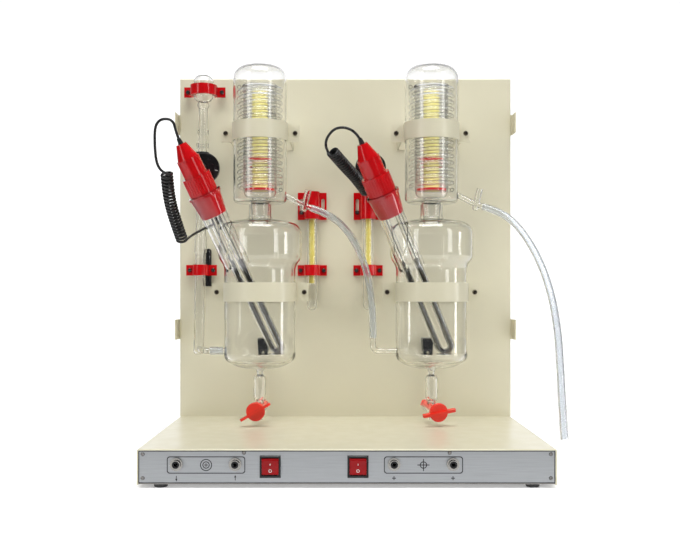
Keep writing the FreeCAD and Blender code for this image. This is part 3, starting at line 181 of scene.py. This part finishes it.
# Cords, with their routes in millimetres
HOSE_DIAMETER = 0.012
HOSE_BORE = 0.0084
LEAD_DIAMETER = 0.0044
CURL_RADIUS = 0.0083
CURL_TURNS = 23
POINTS_PER_TURN = 14
LINK_HOSE = [(-58.6, 46, 424.3), (-28.2, 46, 414.4), (6, 46, 384), (32, 46, 333), (43, 46, 280),
             (46.5, 46, 238), (46.6, 46, 203)]
OUTLET_HOSE = [(229.6, 20.5, 424.3), (260.5, 11, 413.8), (287, -10, 385), (309, -42, 337), (321, -78, 281),
               (324, -110, 222), (321, -138, 163), (319, -158, 109), (319, -171, 64)]
LEADS = {
    "left": {
        "lead": [(-266.1, -36.6, 519.6), (-272.3, -41, 533.6), (-278, -43, 560), (-306, -43, 557),
                 (-308, -41, 518), (-304.5, -37, 481), (-287.5, -33.5, 472.5)],
        "curl": [(-291, -26, 474), (-292, -6, 440), (-287, 22, 404), (-279, 49, 370)],
        "tail": [(-270.7, 48.1, 371.2), (-265.3, 68.5, 379.5), (-256, 89, 388), (-245, 107, 396),
                 (-237, 127, 405), (-234, 146, 410)],
    },
    "right": {
        "lead": [(25.9, -36.6, 519.6), (20.5, -41, 532), (4, -42, 545), (-17, -37, 546), (-31, -29, 532),
                 (-33.5, -24, 519), (-28.9, -21.2, 508.8)],
        "curl": [(-22, -26, 508.8), (-1.8, 3.4, 489.9), (19, 34, 472.7), (35.1, 64, 455.1)],
        "tail": [(42.5, 60, 455.1), (46.5, 69, 464.5), (57, 92, 463), (70, 120, 451), (78, 146, 440)],
    },
}


# ---------------------------------------------------------------- small helpers

def metres(route):
    return [Vector(p) * MM for p in route]


def link(obj):
    bpy.context.scene.collection.objects.link(obj)
    return obj


def new_piece(name, data, body, slot, material, *replaced):
    """An object in the row frame that rides on a body and takes a material slot."""
    obj = link(bpy.data.objects.new(name, data))
    data.materials.append(material)
    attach(obj, body)
    obj.visible_shadow = slot not in CLEAR_SLOTS
    if replaced:
        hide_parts(*replaced)
    return obj


def mesh_from(bm, name):
    mesh = bpy.data.meshes.new(name)
    bmesh.ops.recalc_face_normals(bm, faces=bm.faces)
    bm.to_mesh(mesh)
    bm.free()
    for polygon in mesh.polygons:
        polygon.use_smooth = True
    mesh.set_sharp_from_angle(angle=math.radians(SMOOTH_DEGREES))
    return mesh


def arc(centre, radius, first, last, steps=ARC_STEPS):
    """Outline points on an arc, from one angle to another in degrees."""
    angles = [math.radians(first + (last - first) * i / steps) for i in range(steps + 1)]
    return [(centre[0] + radius * math.cos(a), centre[1] + radius * math.sin(a)) for a in angles]


def axis_matrix(place, axis):
    """Moves a shape from the origin's vertical onto an axis through a place, turned to keep +X across."""
    up = Vector(axis).normalized()
    side = Vector((1, 0, 0)) - up * up.x
    side.normalize()
    other = up.cross(side)
    matrix = Matrix((side, other, up)).transposed().to_4x4()
    matrix.translation = Vector(place)
    return matrix


# ---------------------------------------------------------------- materials

class Shader:
    """A node material under construction, with one Principled shader."""

    def __init__(self, name, color, roughness, **sockets):
        self.material = bpy.data.materials.new(name)
        self.material.use_nodes = True
        self.tree = self.material.node_tree
        self.shader = self.tree.nodes["Principled BSDF"]
        self.shader.inputs["Base Color"].default_value = (*color, 1)
        self.shader.inputs["Roughness"].default_value = roughness
        for socket, value in sockets.items():
            self.shader.inputs[socket.replace("_", " ")].default_value = value
        self.place = self.add("ShaderNodeTexCoord").outputs["Object"]

    def add(self, kind, **settings):
        node = self.tree.nodes.new(kind)
        for key, value in settings.items():
            setattr(node, key, value)
        return node

    def join(self, output, socket):
        self.tree.links.new(output, socket)

    def noise(self, scale, detail, stretch=(1, 1, 1), roughness=0.5):
        mapping = self.add("ShaderNodeMapping")
        mapping.inputs["Scale"].default_value = stretch
        self.join(self.place, mapping.inputs["Vector"])
        noise = self.add("ShaderNodeTexNoise")
        noise.inputs["Scale"].default_value = scale
        noise.inputs["Detail"].default_value = detail
        noise.inputs["Roughness"].default_value = roughness
        self.join(mapping.outputs["Vector"], noise.inputs["Vector"])
        return noise.outputs["Fac"]

    def spread(self, value, low, high, start=0.35, end=0.65):
        ramp = self.add("ShaderNodeMapRange")
        ramp.inputs["From Min"].default_value = start
        ramp.inputs["From Max"].default_value = end
        ramp.inputs["To Min"].default_value = low
        ramp.inputs["To Max"].default_value = high
        self.join(value, ramp.inputs["Value"])
        return ramp.outputs["Result"]

    def tint(self, value, dark, light):
        ramp = self.add("ShaderNodeValToRGB")
        ramp.color_ramp.elements[0].position = 0.3
        ramp.color_ramp.elements[0].color = (*dark, 1)
        ramp.color_ramp.elements[1].position = 0.7
        ramp.color_ramp.elements[1].color = (*light, 1)
        self.join(value, ramp.inputs["Fac"])
        self.join(ramp.outputs["Color"], self.shader.inputs["Base Color"])

    def rough(self, value, low, high):
        self.join(self.spread(value, low, high), self.shader.inputs["Roughness"])

    def bump(self, value, depth, strength):
        bump = self.add("ShaderNodeBump")
        bump.inputs["Distance"].default_value = depth
        bump.inputs["Strength"].default_value = strength
        self.join(value, bump.inputs["Height"])
        self.join(bump.outputs["Normal"], self.shader.inputs["Normal"])


def scaled(color, factor):
    return tuple(min(1.0, c * factor) for c in color)


def paint(name, color):
    """Powder coat: a fine orange peel, slightly uneven in gloss and colour."""
    s = Shader(name, color, 0.36, Coat_Weight=0.25, Coat_Roughness=0.22)
    s.tint(s.noise(6, 3), scaled(color, 0.965), scaled(color, 1.02))
    s.rough(s.noise(40, 4), 0.30, 0.42)
    s.bump(s.noise(700, 2), 0.00006, 0.35)
    return s.material


def brushed(name, color, stretch, roughness):
    """Rolled or brushed metal, with streaks along one axis."""
    s = Shader(name, color, roughness, Metallic=1.0, Anisotropic=0.5)
    streaks = s.noise(900, 6, stretch, 0.6)
    s.tint(streaks, scaled(color, 0.86), scaled(color, 1.08))
    s.rough(streaks, roughness - 0.06, roughness + 0.12)
    s.bump(streaks, 0.00002, 0.3)
    return s.material


def metal(name, color, roughness):
    s = Shader(name, color, roughness, Metallic=1.0)
    wear = s.noise(260, 5)
    s.tint(wear, scaled(color, 0.82), scaled(color, 1.08))
    s.rough(wear, roughness * 0.8, roughness * 1.4)
    s.bump(s.noise(1500, 3), 0.00002, 0.25)
    return s.material


def plastic(name, color, roughness, grain=900, depth=0.00003, coat=0.0, gloss=0.5):
    """Moulded plastic: fine grain, faint flow marks, a little wear in the gloss."""
    s = Shader(name, color, roughness, Coat_Weight=coat, Coat_Roughness=0.12,
               Specular_IOR_Level=gloss)
    s.tint(s.noise(30, 4), scaled(color, 0.88), scaled(color, 1.08))
    s.rough(s.noise(120, 5), roughness * 0.8, roughness * 1.25)
    s.bump(s.noise(grain, 3), depth, 0.4)
    return s.material


def glass(name, ior=1.47, ripple=0.00012):
    """Blown glass: clear, with faint long ripples in its surface."""
    s = Shader(name, (0.985, 0.988, 0.988), 0.0, Transmission_Weight=1.0, IOR=ior)
    s.bump(s.noise(34, 2, (1, 1, 0.35)), ripple, 0.25)
    return s.material


def hose_plastic(name):
    """Soft clear tubing, a little cloudy."""
    s = Shader(name, (0.80, 0.825, 0.85), 0.12, Transmission_Weight=0.94, IOR=1.42)
    s.rough(s.noise(90, 3), 0.10, 0.17)
    return s.material


def rings_with_painted_shade(name, dark, light, pitch):
    """Packed rings seen edge on: level bands in the amber's colour, with the dark colour in the bump's
    troughs as painted shade between the rings. A wave of scale 1 repeats every tau / 20.
    """
    s = Shader(name, light, 0.22, Coat_Weight=0.4)
    wave = s.add("ShaderNodeTexWave", wave_type="BANDS", bands_direction="Z")
    wave.inputs["Scale"].default_value = math.tau / (20 * pitch)
    wave.inputs["Distortion"].default_value = 0.6
    s.join(s.place, wave.inputs["Vector"])
    # The dark colour fills the bump's troughs between the rings: painted shade
    s.tint(wave.outputs["Fac"], dark, light)
    s.bump(wave.outputs["Fac"], 0.0004, 0.5)
    return s.material


MATERIALS = {
    "cream_paint": paint("cream powder coat", (0.69, 0.652, 0.488)),
    "front_aluminium": brushed("brushed aluminium", (0.40, 0.415, 0.43), (0.02, 1, 1), 0.38),
    "steel": metal("zinc-plated steel", (0.25, 0.24, 0.23), 0.20),
    "dark_screw": metal("dark bronze screws", (0.20, 0.17, 0.14), 0.20),
    "nickel": metal("nickel", (0.34, 0.33, 0.31), 0.20),
    "black_rubber": plastic("black rubber", (0.008, 0.008, 0.009), 0.30, 700, 0.00005),
    "black_plastic": plastic("black plastic", (0.007, 0.007, 0.008), 0.24, gloss=0.35),
    "red_plastic": plastic("red plastic", (0.56, 0.002, 0.005), 0.11, gloss=0.42),
    "orange_red_plastic": plastic("orange-red plastic", (0.80, 0.026, 0.012), 0.18),
    "red_rubber": plastic("red rubber", (0.46, 0.002, 0.006), 0.12, gloss=0.15),
    "clear_glass": glass("borosilicate glass"),
    "quartz": glass("fused quartz", ior=1.46, ripple=0.00002),
    "element_sheath": metal("heating element", (0.085, 0.082, 0.08), 0.075),
    # The amber's first colour is painted shade in the troughs between its rings
    "amber": rings_with_painted_shade("amber packing", (0.50, 0.42, 0.09), (0.98, 0.90, 0.34), 0.0054),
    "yellow_core": plastic("yellow sensor core", (0.72, 0.60, 0.12), 0.25, coat=0.4),
    "clear_tube": hose_plastic("clear hose"),
}
ROCKER_RED = plastic("clear red rocker", (0.29, 0.002, 0.004), 0.10, gloss=0.2)
COIL_GLASS = glass("coil glass", ripple=0.00005)
OWN_LOOKS = {"rocker_" + side: ROCKER_RED for side in SIDES}
INK = plastic("black print", (0.02, 0.02, 0.022), 0.5)
WHITE_PRINT = plastic("white print", (0.80, 0.80, 0.78), 0.45)


def dress_cad_nodes():
    """Every carried-over CAD node takes its slot's material, and clear ones let the light through."""
    for part in RECORD["subparts"]:
        node = NODES[part["node"]]
        for slot in node.material_slots:
            slot.material = OWN_LOOKS.get(part["node"], MATERIALS[part["material_slot"]])
        if part["material_slot"] in CLEAR_SLOTS:
            node.visible_shadow = False


# ---------------------------------------------------------------- camera and light

def camera_and_light():
    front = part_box("front_plate")[0][1]
    camera = link(bpy.data.objects.new("camera", bpy.data.cameras.new("camera")))
    camera.data.lens = CAMERA_LENS
    camera.data.shift_y = CAMERA_SHIFT
    camera.location = (CAMERA_SIDE, front - CAMERA_DISTANCE, CAMERA_HEIGHT)
    camera.rotation_euler = (math.radians(90), 0, 0)
    bpy.context.scene.camera = camera

    bpy.context.scene.view_settings.view_transform = "Standard"
    cycles = bpy.context.scene.cycles
    cycles.max_bounces = LIGHT_BOUNCES
    cycles.transmission_bounces = LIGHT_BOUNCES
    cycles.transparent_max_bounces = LIGHT_BOUNCES
    surroundings()
    for name, place, width, height, power in SOFTBOXES:
        light = link(bpy.data.objects.new(name, bpy.data.lights.new(name, "AREA")))
        light.data.shape = "RECTANGLE"
        light.data.energy = power
        light.data.size = width
        light.data.size_y = height
        light.location = place
        light.rotation_euler = (AIM - Vector(place)).to_track_quat("-Z", "Y").to_euler()


def surroundings():
    """A studio that is bright behind the still and dim elsewhere, so that clear glass gets dark edges."""
    world = bpy.data.worlds.new("studio")
    world.use_nodes = True
    tree = world.node_tree
    background = tree.nodes["Background"]
    place = tree.nodes.new("ShaderNodeTexCoord")
    split = tree.nodes.new("ShaderNodeSeparateXYZ")
    tree.links.new(place.outputs["Generated"], split.inputs[0])
    depth = tree.nodes.new("ShaderNodeMapRange")
    depth.inputs["From Min"].default_value = STUDIO_TURN[0]
    depth.inputs["From Max"].default_value = STUDIO_TURN[1]
    depth.inputs["To Min"].default_value = STUDIO_DIM
    depth.inputs["To Max"].default_value = STUDIO_BRIGHT
    tree.links.new(split.outputs["Y"], depth.inputs["Value"])
    background.inputs["Color"].default_value = (1, 1, 1, 1)
    tree.links.new(depth.outputs["Result"], background.inputs["Strength"])
    bpy.context.scene.world = world


def floor():
    """A plain white table that curves up into a backdrop far behind; its front edge is out of the picture."""
    bm = bmesh.new()
    line = [(FLOOR_FRONT, 0.0)]
    line += arc((BACKDROP_Y, BACKDROP_CORNER), BACKDROP_CORNER, -90, 0, BACKDROP_STEPS)
    line.append((BACKDROP_Y + BACKDROP_CORNER, BACKDROP_TOP))
    rows = [[bm.verts.new((x, y, z)) for x in (-FLOOR_REACH, FLOOR_REACH)] for y, z in line]
    for a, b in zip(rows, rows[1:]):
        bm.faces.new((a[0], a[1], b[1], b[0]))
    s = Shader("white floor", (0.93, 0.93, 0.93), 0.55)
    s.shader.inputs["Emission Color"].default_value = (1, 1, 1, 1)
    split = s.add("ShaderNodeSeparateXYZ")
    s.join(s.place, split.inputs[0])
    glow = s.spread(split.outputs["Y"], *FLOOR_GLOW, *FLOOR_GLOW_Y)
    s.join(glow, s.shader.inputs["Emission Strength"])
    s.tint(s.noise(1.5, 2), (0.92, 0.92, 0.92), (0.935, 0.935, 0.935))
    data = mesh_from(bm, "floor")
    data.materials.append(s.material)
    link(bpy.data.objects.new("floor", data))


# ---------------------------------------------------------------- glass inside the condensers

def still_axis(side):
    """Where one condenser's upright axis meets the ground."""
    low, high = (Vector(corner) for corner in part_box("condenser_coils"))
    return Vector((SIDES[side] * (high.x - CAD_COIL_RADIUS), (low.y + high.y) / 2, 0))


def turn_outline(bm, outline, matrix, steps=TURN_STEPS):
    """A closed outline of (radius, height) points turned about its axis."""
    angles = [math.tau * i / steps for i in range(steps)]
    rings = []
    for radius, height in outline:
        places = [Vector((radius * math.cos(a), radius * math.sin(a), height)) for a in angles]
        rings.append([bm.verts.new(matrix @ place) for place in places])
    for a, b in zip(rings, rings[1:] + rings[:1]):
        for i in range(steps):
            j = (i + 1) % steps
            bm.faces.new((a[i], a[j], b[j], b[i]))


def wind_tube(bm, place, radius, tube, low, pitch, turns):
    """A hollow glass tube wound round an upright axis: an outer wall, a bore and two end rings."""
    up = Vector((0, 0, 1))
    section = [math.tau * k / COIL_SIDES for k in range(COIL_SIDES)]
    walls = []
    for wall in (tube, tube - COIL_WALL):
        rings = []
        for i in range(int(turns * COIL_STEPS) + 1):
            angle = math.tau * i / COIL_STEPS
            out = Vector((math.cos(angle), math.sin(angle), 0))
            centre = place + out * radius + up * (low + pitch * i / COIL_STEPS)
            places = [centre + out * wall * math.cos(a) + up * wall * math.sin(a) for a in section]
            rings.append([bm.verts.new(spot) for spot in places])
        walls.append(rings)
        for a, b in zip(rings, rings[1:]):
            for k in range(COIL_SIDES):
                j = (k + 1) % COIL_SIDES
                bm.faces.new((a[k], a[j], b[j], b[k]))
    outer, bore = walls
    for end in (0, -1):
        for k in range(COIL_SIDES):
            j = (k + 1) % COIL_SIDES
            bm.faces.new((outer[end][k], outer[end][j], bore[end][j], bore[end][k]))


def vessel_outline():
    """The condenser's inner vessel: a foot in the neck, a bulged bottom, finely ribbed sides and a lip."""
    inner = VESSEL_RADIUS - VESSEL_WALL
    shoulder = VESSEL_RADIUS - VESSEL_FOOT_RADIUS
    turn = VESSEL_LOW + shoulder
    outer_side = [(VESSEL_FOOT_RADIUS, VESSEL_LOW - VESSEL_FOOT)]
    outer_side += arc((VESSEL_FOOT_RADIUS, turn), shoulder, -90, 0)
    ribs = int((VESSEL_HIGH - turn) / VESSEL_RIB_PITCH) - 1
    for i in range(RIB_STEPS * ribs):
        swell = VESSEL_RIB * math.sin(math.pi * i / RIB_STEPS) ** 2
        outer_side.append((VESSEL_RADIUS + swell, turn + VESSEL_RIB_PITCH * (i / RIB_STEPS + 0.5)))
    outer_side += arc((VESSEL_RADIUS, VESSEL_HIGH), VESSEL_LIP, -90, 90)
    inner_side = [(inner, VESSEL_HIGH + VESSEL_LIP)]
    inner_side += arc((VESSEL_FOOT_RADIUS, turn), shoulder - VESSEL_WALL, 0, -90)
    inner_side.append((VESSEL_FOOT_RADIUS - VESSEL_WALL, VESSEL_LOW + VESSEL_WALL))
    inner_side.append((VESSEL_FOOT_RADIUS - VESSEL_WALL, VESSEL_LOW - VESSEL_FOOT))
    return outer_side + inner_side


def condenser_insides():
    """A finely ribbed vessel in place of the CAD's, and a tube wound round it, in both condensers."""
    vessels, coils = bmesh.new(), bmesh.new()
    for side in SIDES:
        place = still_axis(side)
        turn_outline(vessels, vessel_outline(), Matrix.Translation(place))
        wind_tube(coils, place, **COIL)
    new_piece("condenser_vessels", mesh_from(vessels, "condenser_vessels"), STAND, "clear_glass",
              MATERIALS["clear_glass"], "condenser_coils")
    new_piece("condenser_coil_tubes", mesh_from(coils, "condenser_coil_tubes"), STAND, "clear_glass",
              COIL_GLASS)


# ---------------------------------------------------------------- marks and small fittings

def slab(bm, outline, matrix):
    """A thin flat print from an outline of (across, up) points; it faces along the matrix's third axis."""
    front = [bm.verts.new(matrix @ Vector((x, y, PRINT_THICK))) for x, y in outline]
    back = [bm.verts.new(matrix @ Vector((x, y, 0))) for x, y in outline]
    bm.faces.new(front)
    bm.faces.new(back[::-1])
    for i in range(len(outline)):
        j = (i + 1) % len(outline)
        bm.faces.new((front[i], back[i], back[j], front[j]))


def loop(bm, outer, inner, matrix):
    """A thin flat ring between two outlines with as many points each."""
    edges = ((outer, PRINT_THICK), (inner, PRINT_THICK), (inner, 0), (outer, 0))
    levels = [[bm.verts.new(matrix @ Vector((x, y, z))) for x, y in line] for line, z in edges]
    for a, b in zip(levels, levels[1:] + levels[:1]):
        for i in range(len(outer)):
            j = (i + 1) % len(outer)
            bm.faces.new((a[i], a[j], b[j], b[i]))


def rounded(width, height, radius):
    """The outline of a rectangle with round corners, about its middle."""
    outline = []
    for i, (sx, sy) in enumerate(((1, 1), (-1, 1), (-1, -1), (1, -1))):
        centre = (sx * (width / 2 - radius), sy * (height / 2 - radius))
        outline += arc(centre, radius, 90 * i, 90 * i + 90, CORNER_STEPS)
    return outline


def ring(bm, radius, line, matrix):
    last = 360 - 360 / RING_POINTS
    outer, inner = (arc((0, 0), r, 0, last, RING_POINTS - 1) for r in (radius, radius - line))
    loop(bm, outer, inner, matrix)


def bar(bm, width, height, matrix, across=0.0):
    corners = ((-1, -1), (1, -1), (1, 1), (-1, 1))
    slab(bm, [(across + sx * width / 2, sy * height / 2) for sx, sy in corners], matrix)


def cross(bm, size, matrix):
    bar(bm, size, PRINT_LINE, matrix)
    bar(bm, PRINT_LINE, size, matrix)


def facing_front(x, y, z, lean=0.0):
    """A flat frame on a front face: across is +X, up is +Z leant by some degrees."""
    angle = math.radians(lean)
    return axis_matrix((x, y, z), (0, -math.cos(angle), -math.sin(angle)))


def arrow(bm, point, matrix):
    """A shaft with a head that points up (1) or down (-1); the outline turns the same way round in both."""
    bar(bm, SHAFT_LINE, ARROW_SHAFT, matrix)
    foot = point * ARROW_FOOT
    head = [(-ARROW_HALF_WIDTH, foot), (ARROW_HALF_WIDTH, foot), (0, point * ARROW_TIP)]
    slab(bm, head[::point], matrix)


def plate_marks():
    """Two outlined socket groups: one with arrows and rings, one with plus marks and a crossed ring."""
    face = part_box("front_plate")[0][1]
    height = GROUP_HIGH - GROUP_LOW
    bm = bmesh.new()
    for (left, right), crossed in zip(GROUPS, (False, True)):
        width = right - left
        middle = facing_front((left + right) / 2, face, (GROUP_LOW + GROUP_HIGH) / 2)
        loop(bm, rounded(width, height, GROUP_CORNER),
             rounded(width - 2 * PRINT_LINE, height - 2 * PRINT_LINE, GROUP_INNER_CORNER), middle)
        ring(bm, SYMBOL_MIDDLE, PRINT_LINE, middle)
        if crossed:
            cross(bm, 2 * SYMBOL_RADIUS, middle)
        else:
            ring(bm, SYMBOL_RADIUS, PRINT_LINE, middle)
            ring(bm, SYMBOL_DOT, FINE_LINE, middle)
        for i, x in enumerate(x for x in SOCKET_X if left < x < right):
            mark = facing_front(x, face, MARK_Z)
            if crossed:
                cross(bm, PLUS_SIZE, mark)
            else:
                arrow(bm, 1 if i else -1, mark)
    new_piece("plate_marks", mesh_from(bm, "plate_marks"), STAND, "front_aluminium", INK)


def plate_gap_shade():
    """A black ring round the front plate's edge: painted shade in the gap round the plate."""
    low, high = (Vector(corner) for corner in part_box("front_plate"))
    width = high.x - low.x
    height = high.z - low.z
    bm = bmesh.new()
    loop(bm, rounded(width, height, PLATE_GAP_SHADE_CORNER),
         rounded(width - 2 * PLATE_GAP_SHADE, height - 2 * PLATE_GAP_SHADE, PLATE_GAP_SHADE_INNER_CORNER),
         facing_front((low.x + high.x) / 2, low.y, (low.z + high.z) / 2))
    # The black print material here paints the shade in the plate's gap
    new_piece("plate_gap_shade", mesh_from(bm, "plate_gap_shade"), STAND, "front_aluminium", INK)


def socket_liners():
    """The sockets' black insulators: a flange, a thin sleeve down each bore and a disc that closes it."""
    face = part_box("jack_sockets")[0][1]
    bore = SOCKET_BORE - LINER_WALL
    rim = SOCKET_BORE - LINER_FLOOR_GAP
    sleeve = [(SOCKET_FACE, LINER_FRONT), (SOCKET_FACE, LINER_FLANGE), (SOCKET_BORE, LINER_FLANGE),
              (SOCKET_BORE, LINER_END), (bore, LINER_END), (bore, LINER_FRONT)]
    disc = [(AXIS_GAP, LINER_FLOOR), (rim, LINER_FLOOR), (rim, LINER_END), (AXIS_GAP, LINER_END)]
    bm = bmesh.new()
    for x in SOCKET_X:
        place = axis_matrix((x, face, SOCKET_Z), (0, 1, 0))
        turn_outline(bm, sleeve, place, LINER_STEPS)
        turn_outline(bm, disc, place, LINER_FLOOR_STEPS)
    new_piece("socket_liners", mesh_from(bm, "socket_liners"), STAND, "black_plastic",
              MATERIALS["black_plastic"])


def rocker_marks(side):
    """A bar on the raised half and a ring on the pressed half."""
    x, y, z = JOINTS["rocker_tilt_" + side]["pos_m"]
    bm = bmesh.new()
    bar(bm, *ROCKER_BAR, facing_front(x, y + ROCKER_RAISED[0], z + ROCKER_RAISED[1], -ROCKER_LEAN))
    ring(bm, *ROCKER_RING, facing_front(x, y + ROCKER_PRESSED[0], z + ROCKER_PRESSED[1]))
    name = "rocker_marks_" + side
    new_piece(name, mesh_from(bm, name), "rocker_%s_body" % side, "red_plastic", WHITE_PRINT)


def knob_marks(side):
    """A white index line at the rim of each water knob."""
    x, _, z = JOINTS["water_knob_turn_" + side]["pos_m"]
    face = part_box("water_knob_" + side)[0][1] + KNOB_STEP
    turn = Matrix.Rotation(math.radians(KNOB_MARK), 4, "Z")
    bm = bmesh.new()
    bar(bm, *KNOB_LINE, facing_front(x, face, z) @ turn, across=KNOB_LINE_OUT)
    name = "knob_mark_" + side
    new_piece(name, mesh_from(bm, name), "water_knob_%s_body" % side, "black_plastic", WHITE_PRINT)


def split_screws():
    """The clamp bands' screws are dark and the clips' screws are bright, so each gets its own mesh."""
    whole = NODES["pan_screws"]
    for name, slot, rear in (("band_screws", "dark_screw", False), ("clip_screws", "steel", True)):
        data = whole.data.copy()
        data.materials.clear()
        bm = bmesh.new()
        bm.from_mesh(data)
        other = [v for v in bm.verts if (v.co.y > SCREW_DIVIDE) != rear]
        bmesh.ops.delete(bm, geom=other, context="VERTS")
        bm.to_mesh(data)
        bm.free()
        data.name = name
        new_piece(name, data, STAND, slot, MATERIALS[slot], "pan_screws")


def cap_sleeve(side):
    """The black rubber sleeve where a lead leaves its heater cap."""
    start, ahead = metres(LEADS[side]["lead"][:2])
    bore = LEAD_DIAMETER / 2 + SLEEVE_GAP
    foot = SLEEVE_SIDE[0][1]
    tip = SLEEVE_SIDE[-1][1]
    bm = bmesh.new()
    outline = [(bore, foot), *SLEEVE_SIDE, (bore, tip)]
    turn_outline(bm, outline, axis_matrix(start, ahead - start), SLEEVE_STEPS)
    name = "cap_sleeve_" + side
    return new_piece(name, mesh_from(bm, name), STAND, "black_rubber", MATERIALS["black_rubber"])


# ---------------------------------------------------------------- cords

def nurbs(name, points, radius=0.0):
    """One open NURBS spline that follows the route's points, with a round section."""
    data = bpy.data.curves.new(name, "CURVE")
    data.dimensions = "3D"
    data.bevel_depth = radius
    data.bevel_resolution = BEVEL_STEPS
    data.use_fill_caps = radius > 0
    spline = data.splines.new("NURBS")
    spline.points.add(len(points) - 1)
    for target, place in zip(spline.points, points):
        target.co = (*place, 1)
    spline.order_u = SPLINE_ORDER
    spline.use_endpoint_u = True
    spline.resolution_u = SPLINE_STEPS
    return data


def curve_mesh(data):
    """The mesh that a curve makes; the curve itself is removed."""
    obj = link(bpy.data.objects.new(data.name, data))
    bpy.context.view_layer.update()
    mesh = bpy.data.meshes.new_from_object(obj.evaluated_get(bpy.context.evaluated_depsgraph_get()))
    bpy.data.objects.remove(obj)
    bpy.data.curves.remove(data)
    return mesh


def centreline(points):
    """The places along a route's NURBS spline, in order."""
    mesh = curve_mesh(nurbs("route", points))
    line = [v.co.copy() for v in mesh.vertices]
    bpy.data.meshes.remove(mesh)
    return line


def line_length(line):
    return sum((b - a).length for a, b in zip(line, line[1:]))


def at_share(line, share):
    """The place and direction at a share of a line's length."""
    left = share * line_length(line)
    for a, b in zip(line, line[1:]):
        step = (b - a).length
        if left <= step:
            return a + (b - a) * (left / step), (b - a).normalized()
        left -= step
    return line[-1], (line[-1] - line[-2]).normalized()


def helix(axis_route, start, end):
    """Turns round a route, from the direction of one point to the direction of another."""
    line = centreline(axis_route)
    place, direction = at_share(line, 0)
    normal = start - place
    normal = (normal - direction * normal.dot(direction)).normalized()
    frames = []
    steps = CURL_TURNS * POINTS_PER_TURN
    for i in range(steps + 1):
        place, direction = at_share(line, i / steps)
        normal = (normal - direction * normal.dot(direction)).normalized()
        frames.append((place, direction, normal))
    place, direction, normal = frames[-1]
    leave = end - place
    extra = math.atan2(-leave.dot(direction.cross(normal)), leave.dot(normal)) % math.tau
    turn = (math.tau * (CURL_TURNS - 1) + extra) / steps
    radius = CURL_RADIUS / math.cos(turn / 2)
    return [place + radius * (normal * math.cos(turn * i) - direction.cross(normal) * math.sin(turn * i))
            for i, (place, direction, normal) in enumerate(frames)]


def measured(points):
    return line_length(centreline(points))


def coiled_lead(side):
    """One heater lead in a single run: from its cap, through the turns, to the panel."""
    route = {name: metres(points) for name, points in LEADS[side].items()}
    turns = helix(route["curl"], route["lead"][-1], route["tail"][0])
    points = route["lead"][:-1] + turns + route["tail"][1:]
    name = "heater_lead_" + side
    lead = new_piece(name, nurbs(name, points, LEAD_DIAMETER / 2), STAND, "black_rubber",
                     MATERIALS["black_rubber"], "lead_" + side, "curl_" + side, "tail_" + side)
    measured(points)


def inner_wall(name, points, radius):
    """The bore of a tube along a route: a round wall that faces the bore's middle."""
    data = nurbs(name, points, radius)
    data.use_fill_caps = False
    mesh = curve_mesh(data)
    mesh.flip_normals()
    for polygon in mesh.polygons:
        polygon.use_smooth = True
    return mesh


def hose(name, route):
    """A clear hose: its outside takes the place of the CAD's hose, and its bore is a piece of its own."""
    points = metres(route)
    clear = MATERIALS["clear_tube"]
    wall = inner_wall(name + "_bore", points, HOSE_BORE / 2)
    bore = new_piece(name + "_bore", wall, STAND, "clear_tube", clear)
    outside = nurbs(name + "_tube", points, HOSE_DIAMETER / 2)
    tube = new_piece(name + "_tube", outside, STAND, "clear_tube", clear, name)
    measured(points)


camera_and_light()
floor()
dress_cad_nodes()
condenser_insides()
plate_marks()
plate_gap_shade()
socket_liners()
split_screws()
sleeves = {side: cap_sleeve(side) for side in SIDES}
for side in SIDES:
    rocker_marks(side)
    knob_marks(side)
    coiled_lead(side)
hose("link_hose", LINK_HOSE)
hose("outlet_hose", OUTLET_HOSE)

bpy.context.view_layer.update()
